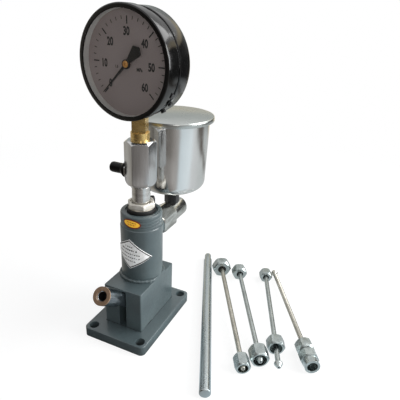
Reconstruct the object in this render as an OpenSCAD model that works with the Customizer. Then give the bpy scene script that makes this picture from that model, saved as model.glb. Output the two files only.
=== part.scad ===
// Hand-worked injector pressure tester: lever pump, pressure gauge, oil cup,
// and the loose handle bar and connecting pipes that lie beside it.
// The origin is the middle of the base plate's underside. +Z is up, -Y is the gauge side.

/* [Base plate] */
// Width of the base plate
base_w = 82; // [76:1:100]
// Length of the base plate
base_l = 119.5; // [116:0.5:150]
// Thickness of the base plate
base_t = 12; // [8:1:20]
// Radius of its corners
base_corner_r = 6; // [3:1:12]
// From a side edge to a bolt hole's centre
bolt_inset_side = 9; // [7:0.25:10]
// From an end edge to a bolt hole's centre
bolt_inset_end = 8.75; // [7:0.25:10]
// Diameter of a bolt hole
bolt_d = 11.5; // [6:0.5:12]

/* [Pump body] */
// Width of the block, and diameter of the column on it
body_w = 50; // [48:1:56]
// From the plate's middle to the block's front
block_front = 37; // [34:1:44]
// From the plate's middle to the block's back
block_back = 41; // [38:1:48]
// Height of the block above the base plate
block_h = 52.7; // [51:0.1:60]
// Radius of the block's upright edges
block_edge_r = 2; // [0.5:0.5:4]
// From the plate's middle back to the column's axis
column_y = 7.8; // [6:0.2:9]
// Height of the column above the block
column_h = 85.3; // [80:0.1:100]
// Height of the turned band at the column's top
band_h = 17.1; // [12:0.1:24]
// How much less the band's radius is than the column's
band_step = 0.6; // [0.2:0.1:1.5]
// Rounding of the band's top edge
band_round = 2.5; // [1:0.5:4]
// Radius of the ring at the column's foot
foot_r = 27.7; // [26:0.1:29]
// Height of that ring
foot_h = 3.3; // [2:0.1:6]
// Width of the slot that the lever works in
slot_w = 9.4; // [8.8:0.1:14]
// Height of the slot above the base plate
slot_h = 50; // [49:0.5:51]
// From the plate's middle back to the slot's end
slot_back = 20; // [15:0.5:24]
// Depth of the thread in the column's top
thread_depth = 18; // [16:0.5:22]
// Radius of that thread
thread_r = 15; // [14:0.25:16.5]
// Radius of the recess for the washer
recess_r = 19; // [18:0.25:20]
// Depth of the recess
recess_h = 1.5; // [1:0.25:2.5]

/* [Lever] */
// Pivot in front of the plate's middle
pivot_front = 17; // [15:0.5:19]
// Pivot above the base plate
pivot_h = 24; // [23:0.25:25]
// Radius of the pivot pin
pivot_r = 5; // [4:0.25:6]
// Angle of the lever above level, at rest
lever_tilt = 38.2; // [36:0.1:39]
// Swing of the lever from rest to its bottom stop
lever_swing = 28; // [20:1:29]
// From the pivot to the socket's open end
lever_len = 73.3; // [68:0.1:90]
// Thickness of the lever's blade
blade_t = 8; // [5:0.25:8.6]
// Height of the blade
blade_h = 14; // [10:0.5:14.5]
// Radius of the eye round the pivot
lever_eye_r = 11; // [9:0.5:11.5]
// Radius of the socket boss
boss_r = 10.3; // [8.5:0.1:12]
// Length of the socket boss
boss_len = 33; // [24:0.5:36]
// Rounding of the boss's inner end
boss_round = 5; // [2:0.5:6]
// Depth of the socket for the handle bar
socket_depth = 16; // [10:0.5:22]
// Radius of the nose that lifts the tappet
nose_r = 5; // [4:0.25:5.5]

/* [Pump] */
// Radius of the tappet's bore
tappet_r = 10; // [9:0.25:10.75]
// Height of the tappet
tappet_h = 18; // [14:0.5:20]
// Radius of the plunger
plunger_r = 4; // [3:0.25:4.5]
// Radius of the pump barrel's seat
barrel_r = 11.1; // [11:0.1:12.5]
// Length of the pump barrel
barrel_len = 34; // [30:0.5:38]
// Radius of the plunger spring, to the wire's middle
plunger_spring_r = 7.4; // [6.5:0.1:8]
// Wire of the plunger spring
plunger_spring_wire = 2.5; // [1.5:0.1:2.8]
// Turns of the plunger spring
plunger_spring_turns = 8; // [5:1:9]
// Lift of the delivery valve
delivery_lift = 1; // [0.5:0.1:1.5]
// Radius of the delivery spring, to the wire's middle
delivery_spring_r = 3.2; // [3:0.1:3.6]
// Wire of the delivery spring
delivery_spring_wire = 1.2; // [0.8:0.1:1.4]
// Turns of the delivery spring
delivery_spring_turns = 7; // [5:1:8]
// Height of the delivery valve's seat
seat_h = 6; // [5:0.5:7]
// Height of the packing washer on the column
washer_h = 5; // [3:0.25:7]
// Radius of the packing washer
washer_r = 16.9; // [15.75:0.1:17]
// Across the flats of the clamp nut
clamp_af = 28.6; // [27:0.1:29]
// Height of the clamp nut's hexagon
clamp_hex_h = 7.5; // [6:0.25:10]
// Turn of the clamp nut
clamp_turn = 11; // [0:1:30]

/* [Pressure head] */
// Radius of the round valve stem
stem_r = 10.6; // [9.5:0.1:11.5]
// Length of the stem above the clamp nut
stem_len = 20.5; // [14:0.5:30]
// Radius of the stem's collar, under the clamp nut
stem_collar_r = 12.6; // [11.75:0.1:13]
// Across the flats of the head
head_af = 31.2; // [30.5:0.1:34]
// Height of the head
head_h = 51.8; // [50:0.1:60]
// Height of the rounding at the head's foot
head_foot_h = 7.5; // [5:0.5:9]
// Radius of the head's foot
head_foot_r = 12.5; // [11.75:0.1:14]
// Radius of its top face
head_crown_r = 13; // [12.5:0.1:15]
// Height of its top chamfer
head_crown_h = 4.8; // [3:0.1:6]
// Height of the outlet above the head's foot
outlet_h = 14; // [12:0.25:16]
// Across the flats of the outlet union
outlet_af = 16; // [14:0.1:19]
// Length of the outlet union's hexagon
outlet_hex_len = 2.4; // [2:0.1:8]
// Radius of the outlet thread
outlet_r = 5.3; // [4.8:0.1:6.5]
// Length of the outlet thread
outlet_len = 13; // [9:0.5:14]
// Radius of the dust cap's flared mouth
cap_flare_r = 9; // [8:0.1:13]
// Length of the dust cap
cap_len = 21.5; // [16:0.5:26]
// Wall of the dust cap
cap_wall = 0.8; // [0.6:0.1:1.5]

/* [Gauge] */
// Turn of the gauge to the left
gauge_turn = -5.2; // [-20:0.2:20]
// Height of the dial's middle above the head
gauge_rise = 79.7; // [78:0.1:95]
// From the stem's axis forward to the bezel's front
gauge_front = 27.5; // [26.5:0.1:29]
// Depth of the gauge
gauge_depth = 40; // [39:0.5:50]
// How far the bezel stands out past the case
bezel_over = 1.3; // [0.5:0.1:4]
// Width of the bezel's lip
bezel_lip = 4.7; // [4:0.1:6]
// Depth of the bezel
bezel_depth = 11; // [9.5:0.25:13]
// Radius of the case's rear band
case_r = 53; // [52:0.1:53.2]
// From the bezel's front back to the rear band
band_depth = 21.5; // [18:0.5:26]
// Wall of the case
case_wall = 1.5; // [1:0.1:2]
// Radius of the collar on the gauge stem
collar_r = 10.5; // [10.25:0.05:12]
// Height of that collar
collar_h = 8.7; // [5:0.1:11]
// Across the flats of the gauge stem's square
square_af = 15; // [13.5:0.1:16]
// Turn of the square
square_turn = 17.5; // [0:0.5:45]
// Length of the pointer
pointer_len = 42; // [34:0.5:46]
// Length of the pointer's tail
pointer_tail = 23; // [14:0.5:28]
// Sweep of the pointer over the whole scale
pointer_sweep = 270; // [180:5:270]
// Teeth of the pinion
pinion_teeth = 10; // [10:1:12]
// Teeth round the whole circle of the sector gear
sector_teeth = 80; // [76:1:80]
// Gear module
gear_m = 0.6; // [0.55:0.01:0.6]
// Radius of the bourdon tube's curl
bourdon_r = 40; // [38:0.5:42]

/* [Oil cup] */
// Height of the feed line's axis below the delivery seat
feed_drop = 15; // [14.5:0.25:18]
// From the plate's middle back to the feed boss's face
feed_boss_y = 38; // [36:0.5:40]
// Radius of the feed boss
feed_boss_r = 14.5; // [12:0.25:15]
// Across the flats of the feed union
feed_af = 30; // [26:0.1:32]
// Length of the feed union
feed_nut_len = 33; // [24:0.5:40]
// Radius of the feed bar
feed_bar_r = 14; // [13:0.1:15]
// Length of the feed bar
feed_bar_len = 32; // [28:0.5:44]
// Across the flats of the nut under the cup
cup_nut_af = 17; // [15.5:0.1:22]
// Depth of the flat that the nut sits on
bar_flat = 2; // [1:0.1:3]
// Height of that nut
cup_nut_h = 24; // [16:0.5:36]
// From the end of the feed union back to the cup's axis
cup_setback = 12.7; // [12:0.1:20]
// Radius of the cup at its foot
cup_foot_r = 42.3; // [32:0.1:46]
// Radius of the cup at its rim
cup_rim_r = 45.6; // [36:0.1:48]
// Height of the cup
cup_h = 92.9; // [60:0.1:110]
// Wall of the cup
cup_wall = 1.2; // [0.8:0.1:2.5]
// Rounding of the cup's foot
cup_round = 12; // [4:0.5:16]
// How far the lid reaches past the rim
lid_overhang = 5.2; // [3:0.1:7]
// Height of the lid's rolled edge
lid_skirt = 6; // [4:0.25:9]
// Thickness of the lid
lid_t = 1.2; // [0.8:0.1:2]

/* [Trim] */
// Radius of the bleed screw
bleed_r = 3.4; // [3:0.1:3.5]
// Height of the bleed screw
bleed_h = 9; // [5:0.25:12]
// Thickness of the name plate
plate_t = 0.6; // [0.3:0.1:1]
// Height of the name plate
plate_h = 39; // [30:1:42]
// Length of the name plate round the column
plate_len = 54; // [40:1:56]
// Width of the sticker round the band
sticker_w = 22.6; // [14:0.2:30]
// Height of the sticker
sticker_h = 11; // [7:0.2:12]

/* [Loose pieces] */
// Radius of the handle bar
handle_r = 6.3; // [5.5:0.1:7]
// Length of the handle bar
handle_len = 267; // [200:1:280]
// Radius of the handle bar's reduced tip, and of the lever's socket
handle_tip_r = 5; // [3.5:0.1:5.2]
// Length of the tip
handle_tip_len = 15; // [8:0.5:15.5]
// Radius of a connecting tube
tube_r = 3; // [2.5:0.1:3.4]
// Radius of its bore
tube_bore_r = 1; // [0.6:0.1:1.5]
// Radius of the cone at a tube's end
cone_r = 4.8; // [4:0.1:5.2]
// Length of that cone
cone_len = 5; // [3:0.25:6]
// Length of a small union nut
nut_len = 14; // [12:0.5:15]
// Length of a long union nut
nut_long = 18; // [16:0.5:19]
// Small union nuts, across the flats
nut_af_small = 16; // [15:0.5:16]
// Middle union nuts, across the flats
nut_af_middle = 19; // [17:0.5:19]
// Large union nuts, across the flats
nut_af_large = 20; // [19.5:0.5:20.5]
// Largest union nut, across the flats
nut_af_huge = 24; // [22:0.5:24]

/* [Hidden] */
$fn = 96;
run_gap = 0.04;
seat_gap = 0.05;
free_gap = 0.3;
cut = 1;

bolt_x = base_w - 2 * bolt_inset_side;
bolt_y = base_l - 2 * bolt_inset_end;
column_r = body_w / 2;
band_r = column_r - band_step;
block_z = base_t + block_h;
column_z = block_z + column_h;
band_z = column_z - band_h;
seat_z = column_z - thread_depth;
barrel_z = seat_z - barrel_len;
slot_z = base_t + slot_h;
pivot_z = base_t + pivot_h;
pin_end = 17;
plug_r = pivot_r + 1.5;
plug_len = 7;

// the nose swings as far above the pivot as it hangs below it at rest
nose_arm = column_y + pivot_front;
nose_dip = lever_swing / 2;
lift = 2 * nose_arm * sin(nose_dip);
tappet_z = pivot_z - nose_arm * sin(nose_dip) + nose_r + 2 * seat_gap;
tappet_floor = 10;
plunger_top = seat_z - lift - 0.4;
feed_z = seat_z - feed_drop;
port_z = plunger_top + 2.5;
port_r = 1.5;
gallery_low = feed_z - 3;
gallery_r = barrel_r - 1.6;
oil_way_r = 2.5;
boss_start = lever_len - boss_len;

// delivery valve and the stem that holds its spring
chamber_r = 5;
chamber_z = seat_z + seat_h;
chamber_h = 22;
chamber_top = chamber_z + chamber_h;
valve_guide_r = 3;
valve_head_h = 2;
way_r = 2;
collar_top_z = chamber_z + 7.8;
washer_z = column_z - recess_h;
clamp_z = washer_z + washer_h;
clamp_top = clamp_z + clamp_hex_h;
clamp_recess_r = stem_r + 1.9;
head_z = clamp_top + stem_len;
head_top = head_z + head_h;
spigot_r = 8;
spigot_h = 6.5;
outlet_z = head_z + outlet_h;
outlet_plug = 6;
cap_r = outlet_r + cap_wall;
socket_z = head_top - 12.3;
socket_r = 10;
copper_h = 1;
flat_x = head_af / 2;
cap_x = flat_x + outlet_hex_len;

// the gauge's pieces lie at depths counted back from the bezel's front
gauge_z = head_top + gauge_rise;
bezel_r = case_r + bezel_over;
glass_r = bezel_r - bezel_lip;
front_r = case_r - 1;
bore_r = front_r - case_wall;
lip_t = 1.5;
glass_t = 2.5;
dial_depth = 9.5;
dial_t = 1;
plate_depth = 13;
frame_t = 1.2;
gear_depth = 16.2;
gear_t = 1.6;
link_depth = 18.2;
frame_back = 21;
pivot_drop = gear_m * (pinion_teeth + sector_teeth) / 2;
sector_sweep = pointer_sweep * pinion_teeth / sector_teeth;
arbor_r = 1.2;
tail_r = 7;
link_pin_r = 1;
slide_x = tail_r * sin(sector_sweep / 2);
slide_drop = tail_r * (1 + cos(sector_sweep / 2)) / 2;
bourdon_w = 9;
bourdon_t = 4;
bourdon_wall = 0.8;
bourdon_end = -42;
link_len = bourdon_r * cos(bourdon_end);
block_half = 7;
block_depth = 11;
block_top_z = -33;
neck_r = 6.5;
square_h = gauge_rise - case_r - free_gap / 2;
stem_foot = -bore_r + 0.5;
bezel_start = 4.2;
tube_depth = frame_back + frame_t + 1;
lug_depth = 19.5;
lug_low = -pivot_drop - slide_drop - 2.6;
lug_top = bourdon_r * sin(bourdon_end);
lug_t = 1.2;
hub_r = 4.6;
link_low = pivot_drop + tail_r * cos(sector_sweep / 2);
// the screws on the lower right of the case, each [depth, angle]
case_screw_at = [[18, -30], [24.5, -42], [14.5, -44], [30, -58.5]];
case_screw_r = 1.5;

// oil line and cup
feed_thread_len = 12;
feed_socket_len = 8;
plug_thread_r = 6;
cup_thread_r = 5;
cup_thread_len = 6;
cup_tail_r = 7;
strainer_r = 9;
strainer_h = 17;
strainer_wall = 1;
strainer_rim = 5;
strainer_hole = 1.2;
feed_plug_af = 14;
feed_plug_h = 4;
feed_nut_end = feed_boss_y + feed_nut_len;
feed_bar_end = feed_nut_end + feed_bar_len;
cup_y = feed_nut_end + cup_setback;
nipple_r = 8;
flat_z = feed_z + feed_bar_r - bar_flat;
cup_z = flat_z + cup_nut_h;
cup_rim_z = cup_z + cup_h;
lid_top = cup_rim_z + lid_t;
lid_r = cup_rim_r + lid_overhang;
bleed_dir = 83;
bleed_at = recess_r + 1.7;

// name plate and sticker, laid round the column
plate_dir = -2;
plate_z = (band_z - block_z) / 2 + block_z + 3.4;
plate_lean = 2.8;
sticker_dir = 4;
sticker_z = column_z - 8.2;
sticker_t = 0.25;
sticker_lean = 6;

// where the loose pieces lie on the bench, as [x, y]
lie_gap = 0.15;
handle_far = [23.4, 167.5];
handle_near = [126.6, -79.2];
pipe_far = [[54.5, 144.7], [81.7, 149.2], [119.8, 162.0], [129.4, 176.0]];
pipe_near = [[151.4, -31.6], [165.9, -15.2], [186.4, -13.6], [220, 3]];
// heights of the pipes' axes; a nut set back from the end carries its pipe higher
far_h = [nut_af_huge / 2 + 0.3, nut_af_middle / 2, nut_af_small / 2, cone_r];
near_h = [nut_af_small / 2, nut_af_large / 2, nut_af_middle / 2 + 0.4, nut_af_middle / 2 + 1.1];
back_off = 28.5;
coil_rings = 8;
coil_sides = 6;
connector_len = 21;
connector_hex = 12;

// Shapes that several pieces use

module rounded_plate(w, l, h, r) {
    for (x = [r - w / 2, w / 2 - r], y = [r - l / 2, l / 2 - r])
        translate([x, y, 0]) cylinder(r = r, h = h);
    translate([-w / 2, r - l / 2, 0]) cube([w, l - 2 * r, h]);
    translate([r - w / 2, -l / 2, 0]) cube([w - 2 * r, l, h]);
}

// hexagon bar along Z with both ends turned off by the given bite
module hex_bar(af, h, bite = 1, face = 0.96) {
    corner = af / sqrt(3) + 0.01;
    intersection() {
        cylinder(r = af / sqrt(3), h = h, $fn = 6);
        rotate_extrude() polygon([[0, 0], [face * af / 2, 0], [corner, bite],
            [corner, h - bite], [face * af / 2, h], [0, h]]);
    }
}

module tube(r, bore, h) {
    difference() {
        cylinder(r = r, h = h);
        translate([0, 0, -cut]) cylinder(r = bore, h = h + 2 * cut);
    }
}

module at_column() {
    translate([0, column_y, 0]) children();
}

// +Z along the lever, outward from its pivot
module along_lever() {
    translate([0, -pivot_front, pivot_z]) rotate([90 - lever_tilt, 0, 0]) children();
}

// +Z towards -X, outward along the outlet from the head's middle
module along_outlet() {
    translate([0, column_y, outlet_z]) rotate([0, -90, 0]) children();
}

// +Z towards +Y, along the feed line
module along_feed(y) {
    translate([0, y, feed_z]) rotate([-90, 0, 0]) children();
}

// +Z back into the gauge from the bezel's front, X to the right, Y up
module in_gauge(depth = 0) {
    translate([0, column_y, gauge_z]) rotate([0, 0, gauge_turn])
        translate([0, depth - gauge_front, 0]) rotate([-90, 0, 0]) mirror([0, 1, 0]) children();
}

// one unbroken wire coil along +Z
function coil_mid(a, r, z, pitch) = [r * cos(a), r * sin(a), z + pitch * a / 360];
function coil_point(a, f, r, wire, z, pitch) =
    let (slope = atan(pitch / (2 * PI * r)))
    coil_mid(a, r, z, pitch) + wire / 2 * (cos(f) * [cos(a), sin(a), 0]
        + sin(f) * [sin(a) * sin(slope), -cos(a) * sin(slope), cos(slope)]);
function coil_pitch(h, wire, turns) = (h - wire) / turns;

module coil_spring(r, wire, turns, z, h) {
    pitch = coil_pitch(h, wire, turns);
    last = turns * coil_rings;
    points = [for (i = [0:last], j = [0:coil_sides - 1])
        coil_point(i * 360 / coil_rings, j * 360 / coil_sides, r, wire, z + wire / 2, pitch)];
    sides = [for (i = [0:last - 1], j = [0:coil_sides - 1], half = [0, 1])
        let (a = i * coil_sides + j, b = i * coil_sides + (j + 1) % coil_sides)
        half == 0 ? [a, b, b + coil_sides] : [a, b + coil_sides, a + coil_sides]];
    start = [for (j = [1:coil_sides - 2]) [0, j + 1, j]];
    e = last * coil_sides;
    end = [for (j = [1:coil_sides - 2]) [e, e + j, e + j + 1]];
    polyhedron(points, concat(sides, start, end));
    mids = [for (i = [0:last]) coil_mid(i * 360 / coil_rings, r, z, pitch)];
    gaps = [for (i = [0:last], k = [i + coil_rings / 2:last])
        if (k >= i + coil_rings / 2) norm(mids[i] - mids[k]) - wire];
    echo("least gap of the coil to itself", min(gaps));
}

// Pump

module base_plate() color("slategray") difference() {
    rounded_plate(base_w, base_l, base_t, base_corner_r);
    for (x = [-bolt_x / 2, bolt_x / 2], y = [-bolt_y / 2, bolt_y / 2])
        translate([x, y, -cut]) cylinder(d = bolt_d, h = base_t + 2 * cut);
}

module pump_body() color("slategray") difference() {
    union() {
        translate([0, (block_back - block_front) / 2, base_t])
            rounded_plate(body_w, block_front + block_back, block_h, block_edge_r);
        at_column() column();
        along_feed(column_y) cylinder(r = feed_boss_r, h = feed_boss_y - column_y);
    }
    translate([-slot_w / 2, -block_front - cut, base_t - cut])
        cube([slot_w, block_front + slot_back + cut, slot_h + cut]);
    at_column() {
        translate([0, 0, tappet_z - 2]) cylinder(r = tappet_r, h = barrel_z - tappet_z + 2 + cut);
        translate([0, 0, barrel_z]) cylinder(r = barrel_r, h = barrel_len + cut);
        translate([0, 0, seat_z]) cylinder(r = thread_r, h = thread_depth + cut);
        translate([0, 0, column_z - recess_h]) cylinder(r = recess_r, h = recess_h + cut);
    }
    translate([-column_r - cut, -pivot_front, pivot_z]) rotate([0, 90, 0]) {
        cylinder(r = pivot_r, h = column_r + cut + pin_end);
        cylinder(r = plug_r, h = plug_len + cut);
    }
    along_feed(column_y) cylinder(r = oil_way_r, h = feed_boss_y);
    along_feed(feed_boss_y - feed_thread_len) cylinder(r = nipple_r, h = feed_thread_len + cut);
    bleed_way();
}

module column() {
    difference() {
        translate([0, 0, block_z]) cylinder(r = foot_r, h = foot_h);
        for (s = [-1, 1]) translate([s * (column_r + foot_r) - foot_r, -foot_r, block_z - cut])
            cube([2 * foot_r, 2 * foot_r, foot_h + 2 * cut]);
    }
    translate([0, 0, block_z]) cylinder(r = column_r, h = band_z - block_z);
    translate([0, 0, band_z]) rotate_extrude() union() {
        square([band_r - band_round, band_h]);
        square([band_r, band_h - band_round]);
        translate([band_r - band_round, band_h - band_round]) circle(r = band_round);
    }
}

// threaded hole of the bleed screw, and the drilling from it to the oil gallery
module bleed_way() {
    thread_len = 9;
    lean = atan((bleed_at - gallery_r) / (column_z - recess_h - thread_len - feed_z));
    at_bleed() {
        translate([0, 0, -thread_len]) cylinder(r = bleed_r - 0.9, h = thread_len + cut);
        translate([0, 0, -thread_len]) rotate([180 + lean, 0, 90])
            cylinder(r = 0.8, h = (thread_len + feed_drop - thread_depth + 10) / cos(lean));
    }
}

// on the column's top face, +X outward
module at_bleed() {
    at_column() rotate([0, 0, bleed_dir]) translate([bleed_at, 0, column_z]) children();
}

module pivot_pin() color("gray") translate([plug_len - column_r, -pivot_front, pivot_z])
    rotate([0, 90, 0]) cylinder(r = pivot_r, h = column_r + pin_end - plug_len);

module pivot_plug() color("gray") translate([-column_r, -pivot_front, pivot_z])
    rotate([0, 90, 0]) difference() {
        cylinder(r = plug_r, h = plug_len);
        translate([0, 0, -cut]) cylinder(d = plug_r, h = plug_len / 2 + cut, $fn = 6);
    }

module lever() color("lightsteelblue") difference() {
    union() {
        translate([0, -pivot_front, pivot_z]) rotate([90, 0, 90])
            translate([0, 0, -blade_t / 2]) linear_extrude(blade_t) lever_blade();
        along_lever() translate([0, 0, boss_start]) rotate_extrude() union() {
            translate([0, boss_round]) square([boss_r, boss_len - boss_round]);
            square([boss_r - boss_round, boss_len]);
            translate([boss_r - boss_round, boss_round]) circle(r = boss_round);
        }
    }
    translate([-blade_t, -pivot_front, pivot_z]) rotate([0, 90, 0])
        cylinder(r = pivot_r + run_gap, h = 2 * blade_t);
    along_lever() translate([0, 0, lever_len - socket_depth])
        cylinder(r = handle_tip_r + run_gap, h = socket_depth + cut);
}

// outline of the blade: X is back along +Y, Y is up
module lever_blade() {
    circle(r = lever_eye_r);
    rotate(180 - lever_tilt) translate([0, -blade_h / 2]) square([boss_start + boss_round, blade_h]);
    rotate(-nose_dip) {
        polygon([[0, -0.75 * lever_eye_r], [nose_arm, -nose_r], [nose_arm, 0.4 * nose_r],
            [0, 0.4 * nose_r]]);
        translate([nose_arm, 0]) circle(r = nose_r);
    }
}

module tappet() color("gray") at_column() translate([0, 0, tappet_z]) difference() {
    cylinder(r = tappet_r - run_gap, h = tappet_h);
    translate([0, 0, tappet_floor]) cylinder(r = plunger_r, h = tappet_h);
}

module plunger() color("silver") at_column() translate([0, 0, tappet_z + tappet_floor])
    cylinder(r = plunger_r, h = plunger_top - tappet_z - tappet_floor);

module plunger_spring() color("dimgray") at_column() {
    foot = tappet_z + tappet_h;
    coil_spring(plunger_spring_r, plunger_spring_wire, plunger_spring_turns,
        foot + seat_gap, barrel_z - foot - 2 * seat_gap);
}

module pump_barrel() color("silver") at_column() difference() {
    translate([0, 0, barrel_z]) cylinder(r = barrel_r, h = barrel_len);
    translate([0, 0, barrel_z - cut]) cylinder(r = plunger_r + run_gap, h = barrel_len + 2 * cut);
    translate([0, 0, gallery_low]) tube(barrel_r + cut, gallery_r, port_z + 2.5 - gallery_low);
    translate([0, 0, port_z]) rotate([-90, 0, 0]) cylinder(r = port_r, h = barrel_r + cut);
}

// Delivery valve, and the stem that is clamped on it

module delivery_seat() color("silver") at_column() translate([0, 0, seat_z])
    tube(thread_r - 1.1, valve_guide_r, seat_h);

module delivery_valve() color("gray") at_column() translate([0, 0, chamber_z]) {
    cylinder(r = chamber_r - 0.8, h = valve_head_h);
    translate([0, 0, 1 - seat_h]) cylinder(r = valve_guide_r - run_gap, h = seat_h - 1);
    cylinder(r = delivery_spring_r - delivery_spring_wire, h = valve_head_h + 3);
}

module delivery_spring() color("dimgray") at_column() {
    foot = chamber_z + valve_head_h;
    coil_spring(delivery_spring_r, delivery_spring_wire, delivery_spring_turns,
        foot + seat_gap, chamber_top - foot - 2 * seat_gap);
}

module column_washer() color("black") at_column() translate([0, 0, washer_z])
    tube(washer_r, thread_r, washer_h);

module clamp_nut() color("silver") at_column() difference() {
    union() {
        translate([0, 0, chamber_z + 1])
            cylinder(r = thread_r - run_gap, h = clamp_z - chamber_z - 1);
        translate([0, 0, clamp_z]) rotate(clamp_turn) hex_bar(clamp_af, clamp_hex_h, 1.2);
    }
    translate([0, 0, chamber_z]) cylinder(r = stem_collar_r + run_gap, h = collar_top_z - chamber_z);
    translate([0, 0, chamber_z]) cylinder(r = stem_r + run_gap, h = clamp_top - chamber_z + cut);
    translate([0, 0, clamp_top - 1.5]) cylinder(r = clamp_recess_r, h = 1.5 + cut);
}

module head_stem() color("silver") at_column() difference() {
    union() {
        translate([0, 0, chamber_z]) cylinder(r = stem_collar_r, h = collar_top_z - chamber_z);
        translate([0, 0, chamber_z]) cylinder(r = stem_r, h = head_z - chamber_z);
        translate([0, 0, head_z - cut]) cylinder(r = spigot_r, h = spigot_h + cut);
    }
    translate([0, 0, chamber_z - cut]) cylinder(r = chamber_r, h = chamber_top - chamber_z + cut);
    translate([0, 0, chamber_z]) cylinder(r = way_r, h = head_z + spigot_h - chamber_z + cut);
}

module pressure_head() color("silver") difference() {
    at_column() translate([0, 0, head_z]) intersection() {
        rotate(30) cylinder(r = head_af / sqrt(3), h = head_h, $fn = 6);
        rotate_extrude() head_outline();
    }
    at_column() {
        translate([0, 0, head_z - cut]) cylinder(r = spigot_r, h = spigot_h + cut);
        translate([0, 0, head_z]) cylinder(r = way_r, h = head_h);
        translate([0, 0, socket_z]) cylinder(r = socket_r, h = head_top - socket_z + cut);
    }
    along_outlet() {
        cylinder(r = way_r, h = flat_x);
        translate([0, 0, flat_x - outlet_plug]) cylinder(r = outlet_r, h = outlet_plug + cut);
    }
}

// foot with a round shoulder, crown with a plain chamfer
module head_outline() {
    corner = head_af / sqrt(3) + 0.01;
    rise = corner - head_foot_r;
    polygon(concat([[0, 0]],
        [for (a = [0:15:90]) [head_foot_r + rise * sin(a), head_foot_h * (1 - cos(a))]],
        [[corner, head_h - head_crown_h], [head_crown_r, head_h], [0, head_h]]));
}

module outlet_union() color("rosybrown") along_outlet() translate([0, 0, flat_x]) difference() {
    union() {
        translate([0, 0, -outlet_plug]) cylinder(r = outlet_r, h = outlet_plug + cut);
        hex_bar(outlet_af, outlet_hex_len, 0.6);
        cylinder(r = outlet_r, h = outlet_hex_len + outlet_len);
    }
    translate([0, 0, -outlet_plug - cut])
        cylinder(r = tube_bore_r, h = outlet_plug + outlet_hex_len + outlet_len + 2 * cut);
    translate([0, 0, outlet_hex_len + outlet_len - 4])
        cylinder(r1 = tube_bore_r, r2 = outlet_r - 1.5, h = 4 + 0.001);
}

module dust_cap() color("black") along_outlet() translate([0, 0, cap_x + seat_gap]) difference() {
    edge = 2.5;
    rotate_extrude() union() {
        polygon([[0, 0], [cap_flare_r - 0.5, 0], [cap_flare_r, 0.6], [cap_flare_r, 2.2],
            [cap_r + 1, 4.6], [cap_r, 6.8], [cap_r, cap_len - edge], [0, cap_len - edge]]);
        square([cap_r - edge, cap_len]);
        translate([cap_r - edge, cap_len - edge]) circle(r = edge);
    }
    translate([0, 0, -cut]) cylinder(r = outlet_r + run_gap, h = cap_len - 2 + cut);
}

module bleed_screw() color("black") at_bleed() {
    translate([0, 0, -8]) cylinder(r = bleed_r - 0.9 - run_gap, h = 8 + 1);
    rotate_extrude() polygon([[0, 0], [bleed_r, 0], [bleed_r, bleed_h - 2.5],
        [bleed_r - 0.7, bleed_h - 1], [bleed_r - 0.7, bleed_h], [0, bleed_h]]);
}

// Gauge

module gauge_washer() color("orange") at_column() translate([0, 0, socket_z])
    tube(socket_r - 0.5, 8, copper_h);

module gauge_stem() color("darkgoldenrod") difference() {
    union() {
        at_column() {
            translate([0, 0, socket_z + copper_h])
                cylinder(r = socket_r, h = head_top - socket_z - copper_h);
            translate([0, 0, head_top]) cylinder(r = collar_r, h = collar_h);
            translate([0, 0, head_top]) rotate(square_turn)
                translate([-square_af / 2, -square_af / 2, 0]) cube([square_af, square_af, square_h]);
            translate([0, 0, head_top]) cylinder(r = neck_r, h = square_h + 5);
        }
        in_gauge(frame_back + frame_t) translate([-block_half, stem_foot, 0])
            cube([2 * block_half, block_top_z - stem_foot, block_depth]);
    }
    at_column() translate([0, 0, socket_z]) cylinder(r = way_r, h = gauge_rise + block_top_z + 5);
}

module gauge_case() color("black") difference() {
    union() {
        in_gauge(bezel_start) cylinder(r = front_r, h = gauge_depth - bezel_start - cut);
        in_gauge(band_depth) case_band();
    }
    in_gauge(bezel_start - cut)
        cylinder(r = bore_r, h = gauge_depth - bezel_start - case_wall + cut);
    at_column() translate([0, 0, gauge_z - case_r - cut]) cylinder(r = neck_r + run_gap, h = 8);
    each_case_screw() translate([0, 0, -6]) cylinder(r = case_screw_r, h = 12);
}

module case_band() {
    edge = 2;
    depth = gauge_depth - band_depth;
    rotate_extrude() union() {
        square([case_r - edge, depth]);
        square([case_r, depth - edge]);
        translate([case_r - edge, depth - edge]) circle(r = edge);
    }
}

module each_case_screw() {
    for (s = case_screw_at) in_gauge(s[0]) rotate([0, 0, s[1]]) rotate([0, 90, 0])
        translate([0, 0, s[0] > band_depth ? case_r : front_r]) children();
}

module case_screws() color("dimgray") each_case_screw() {
    cylinder(r = case_screw_r + 1.2, h = 1.8);
    translate([0, 0, -case_wall - 1]) cylinder(r = case_screw_r, h = case_wall + 2);
}

module bezel_ring() color("black") in_gauge() difference() {
    edge = 1.5;
    rotate_extrude() difference() {
        union() {
            translate([glass_r, 0]) square([bezel_lip - edge, bezel_depth]);
            translate([glass_r, edge]) square([bezel_lip, bezel_depth - edge]);
            translate([bezel_r - edge, edge]) circle(r = edge);
        }
        translate([0, lip_t]) square([front_r - 1, bezel_depth]);
        translate([0, bezel_start]) square([front_r, bezel_depth]);
    }
}

module gauge_glass() color("white", 0.25) in_gauge(lip_t)
    cylinder(r = front_r - 1 - run_gap, h = glass_t);

module dial_plate() color("silver") in_gauge(dial_depth) tube(bore_r - run_gap, 2, dial_t);

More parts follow.
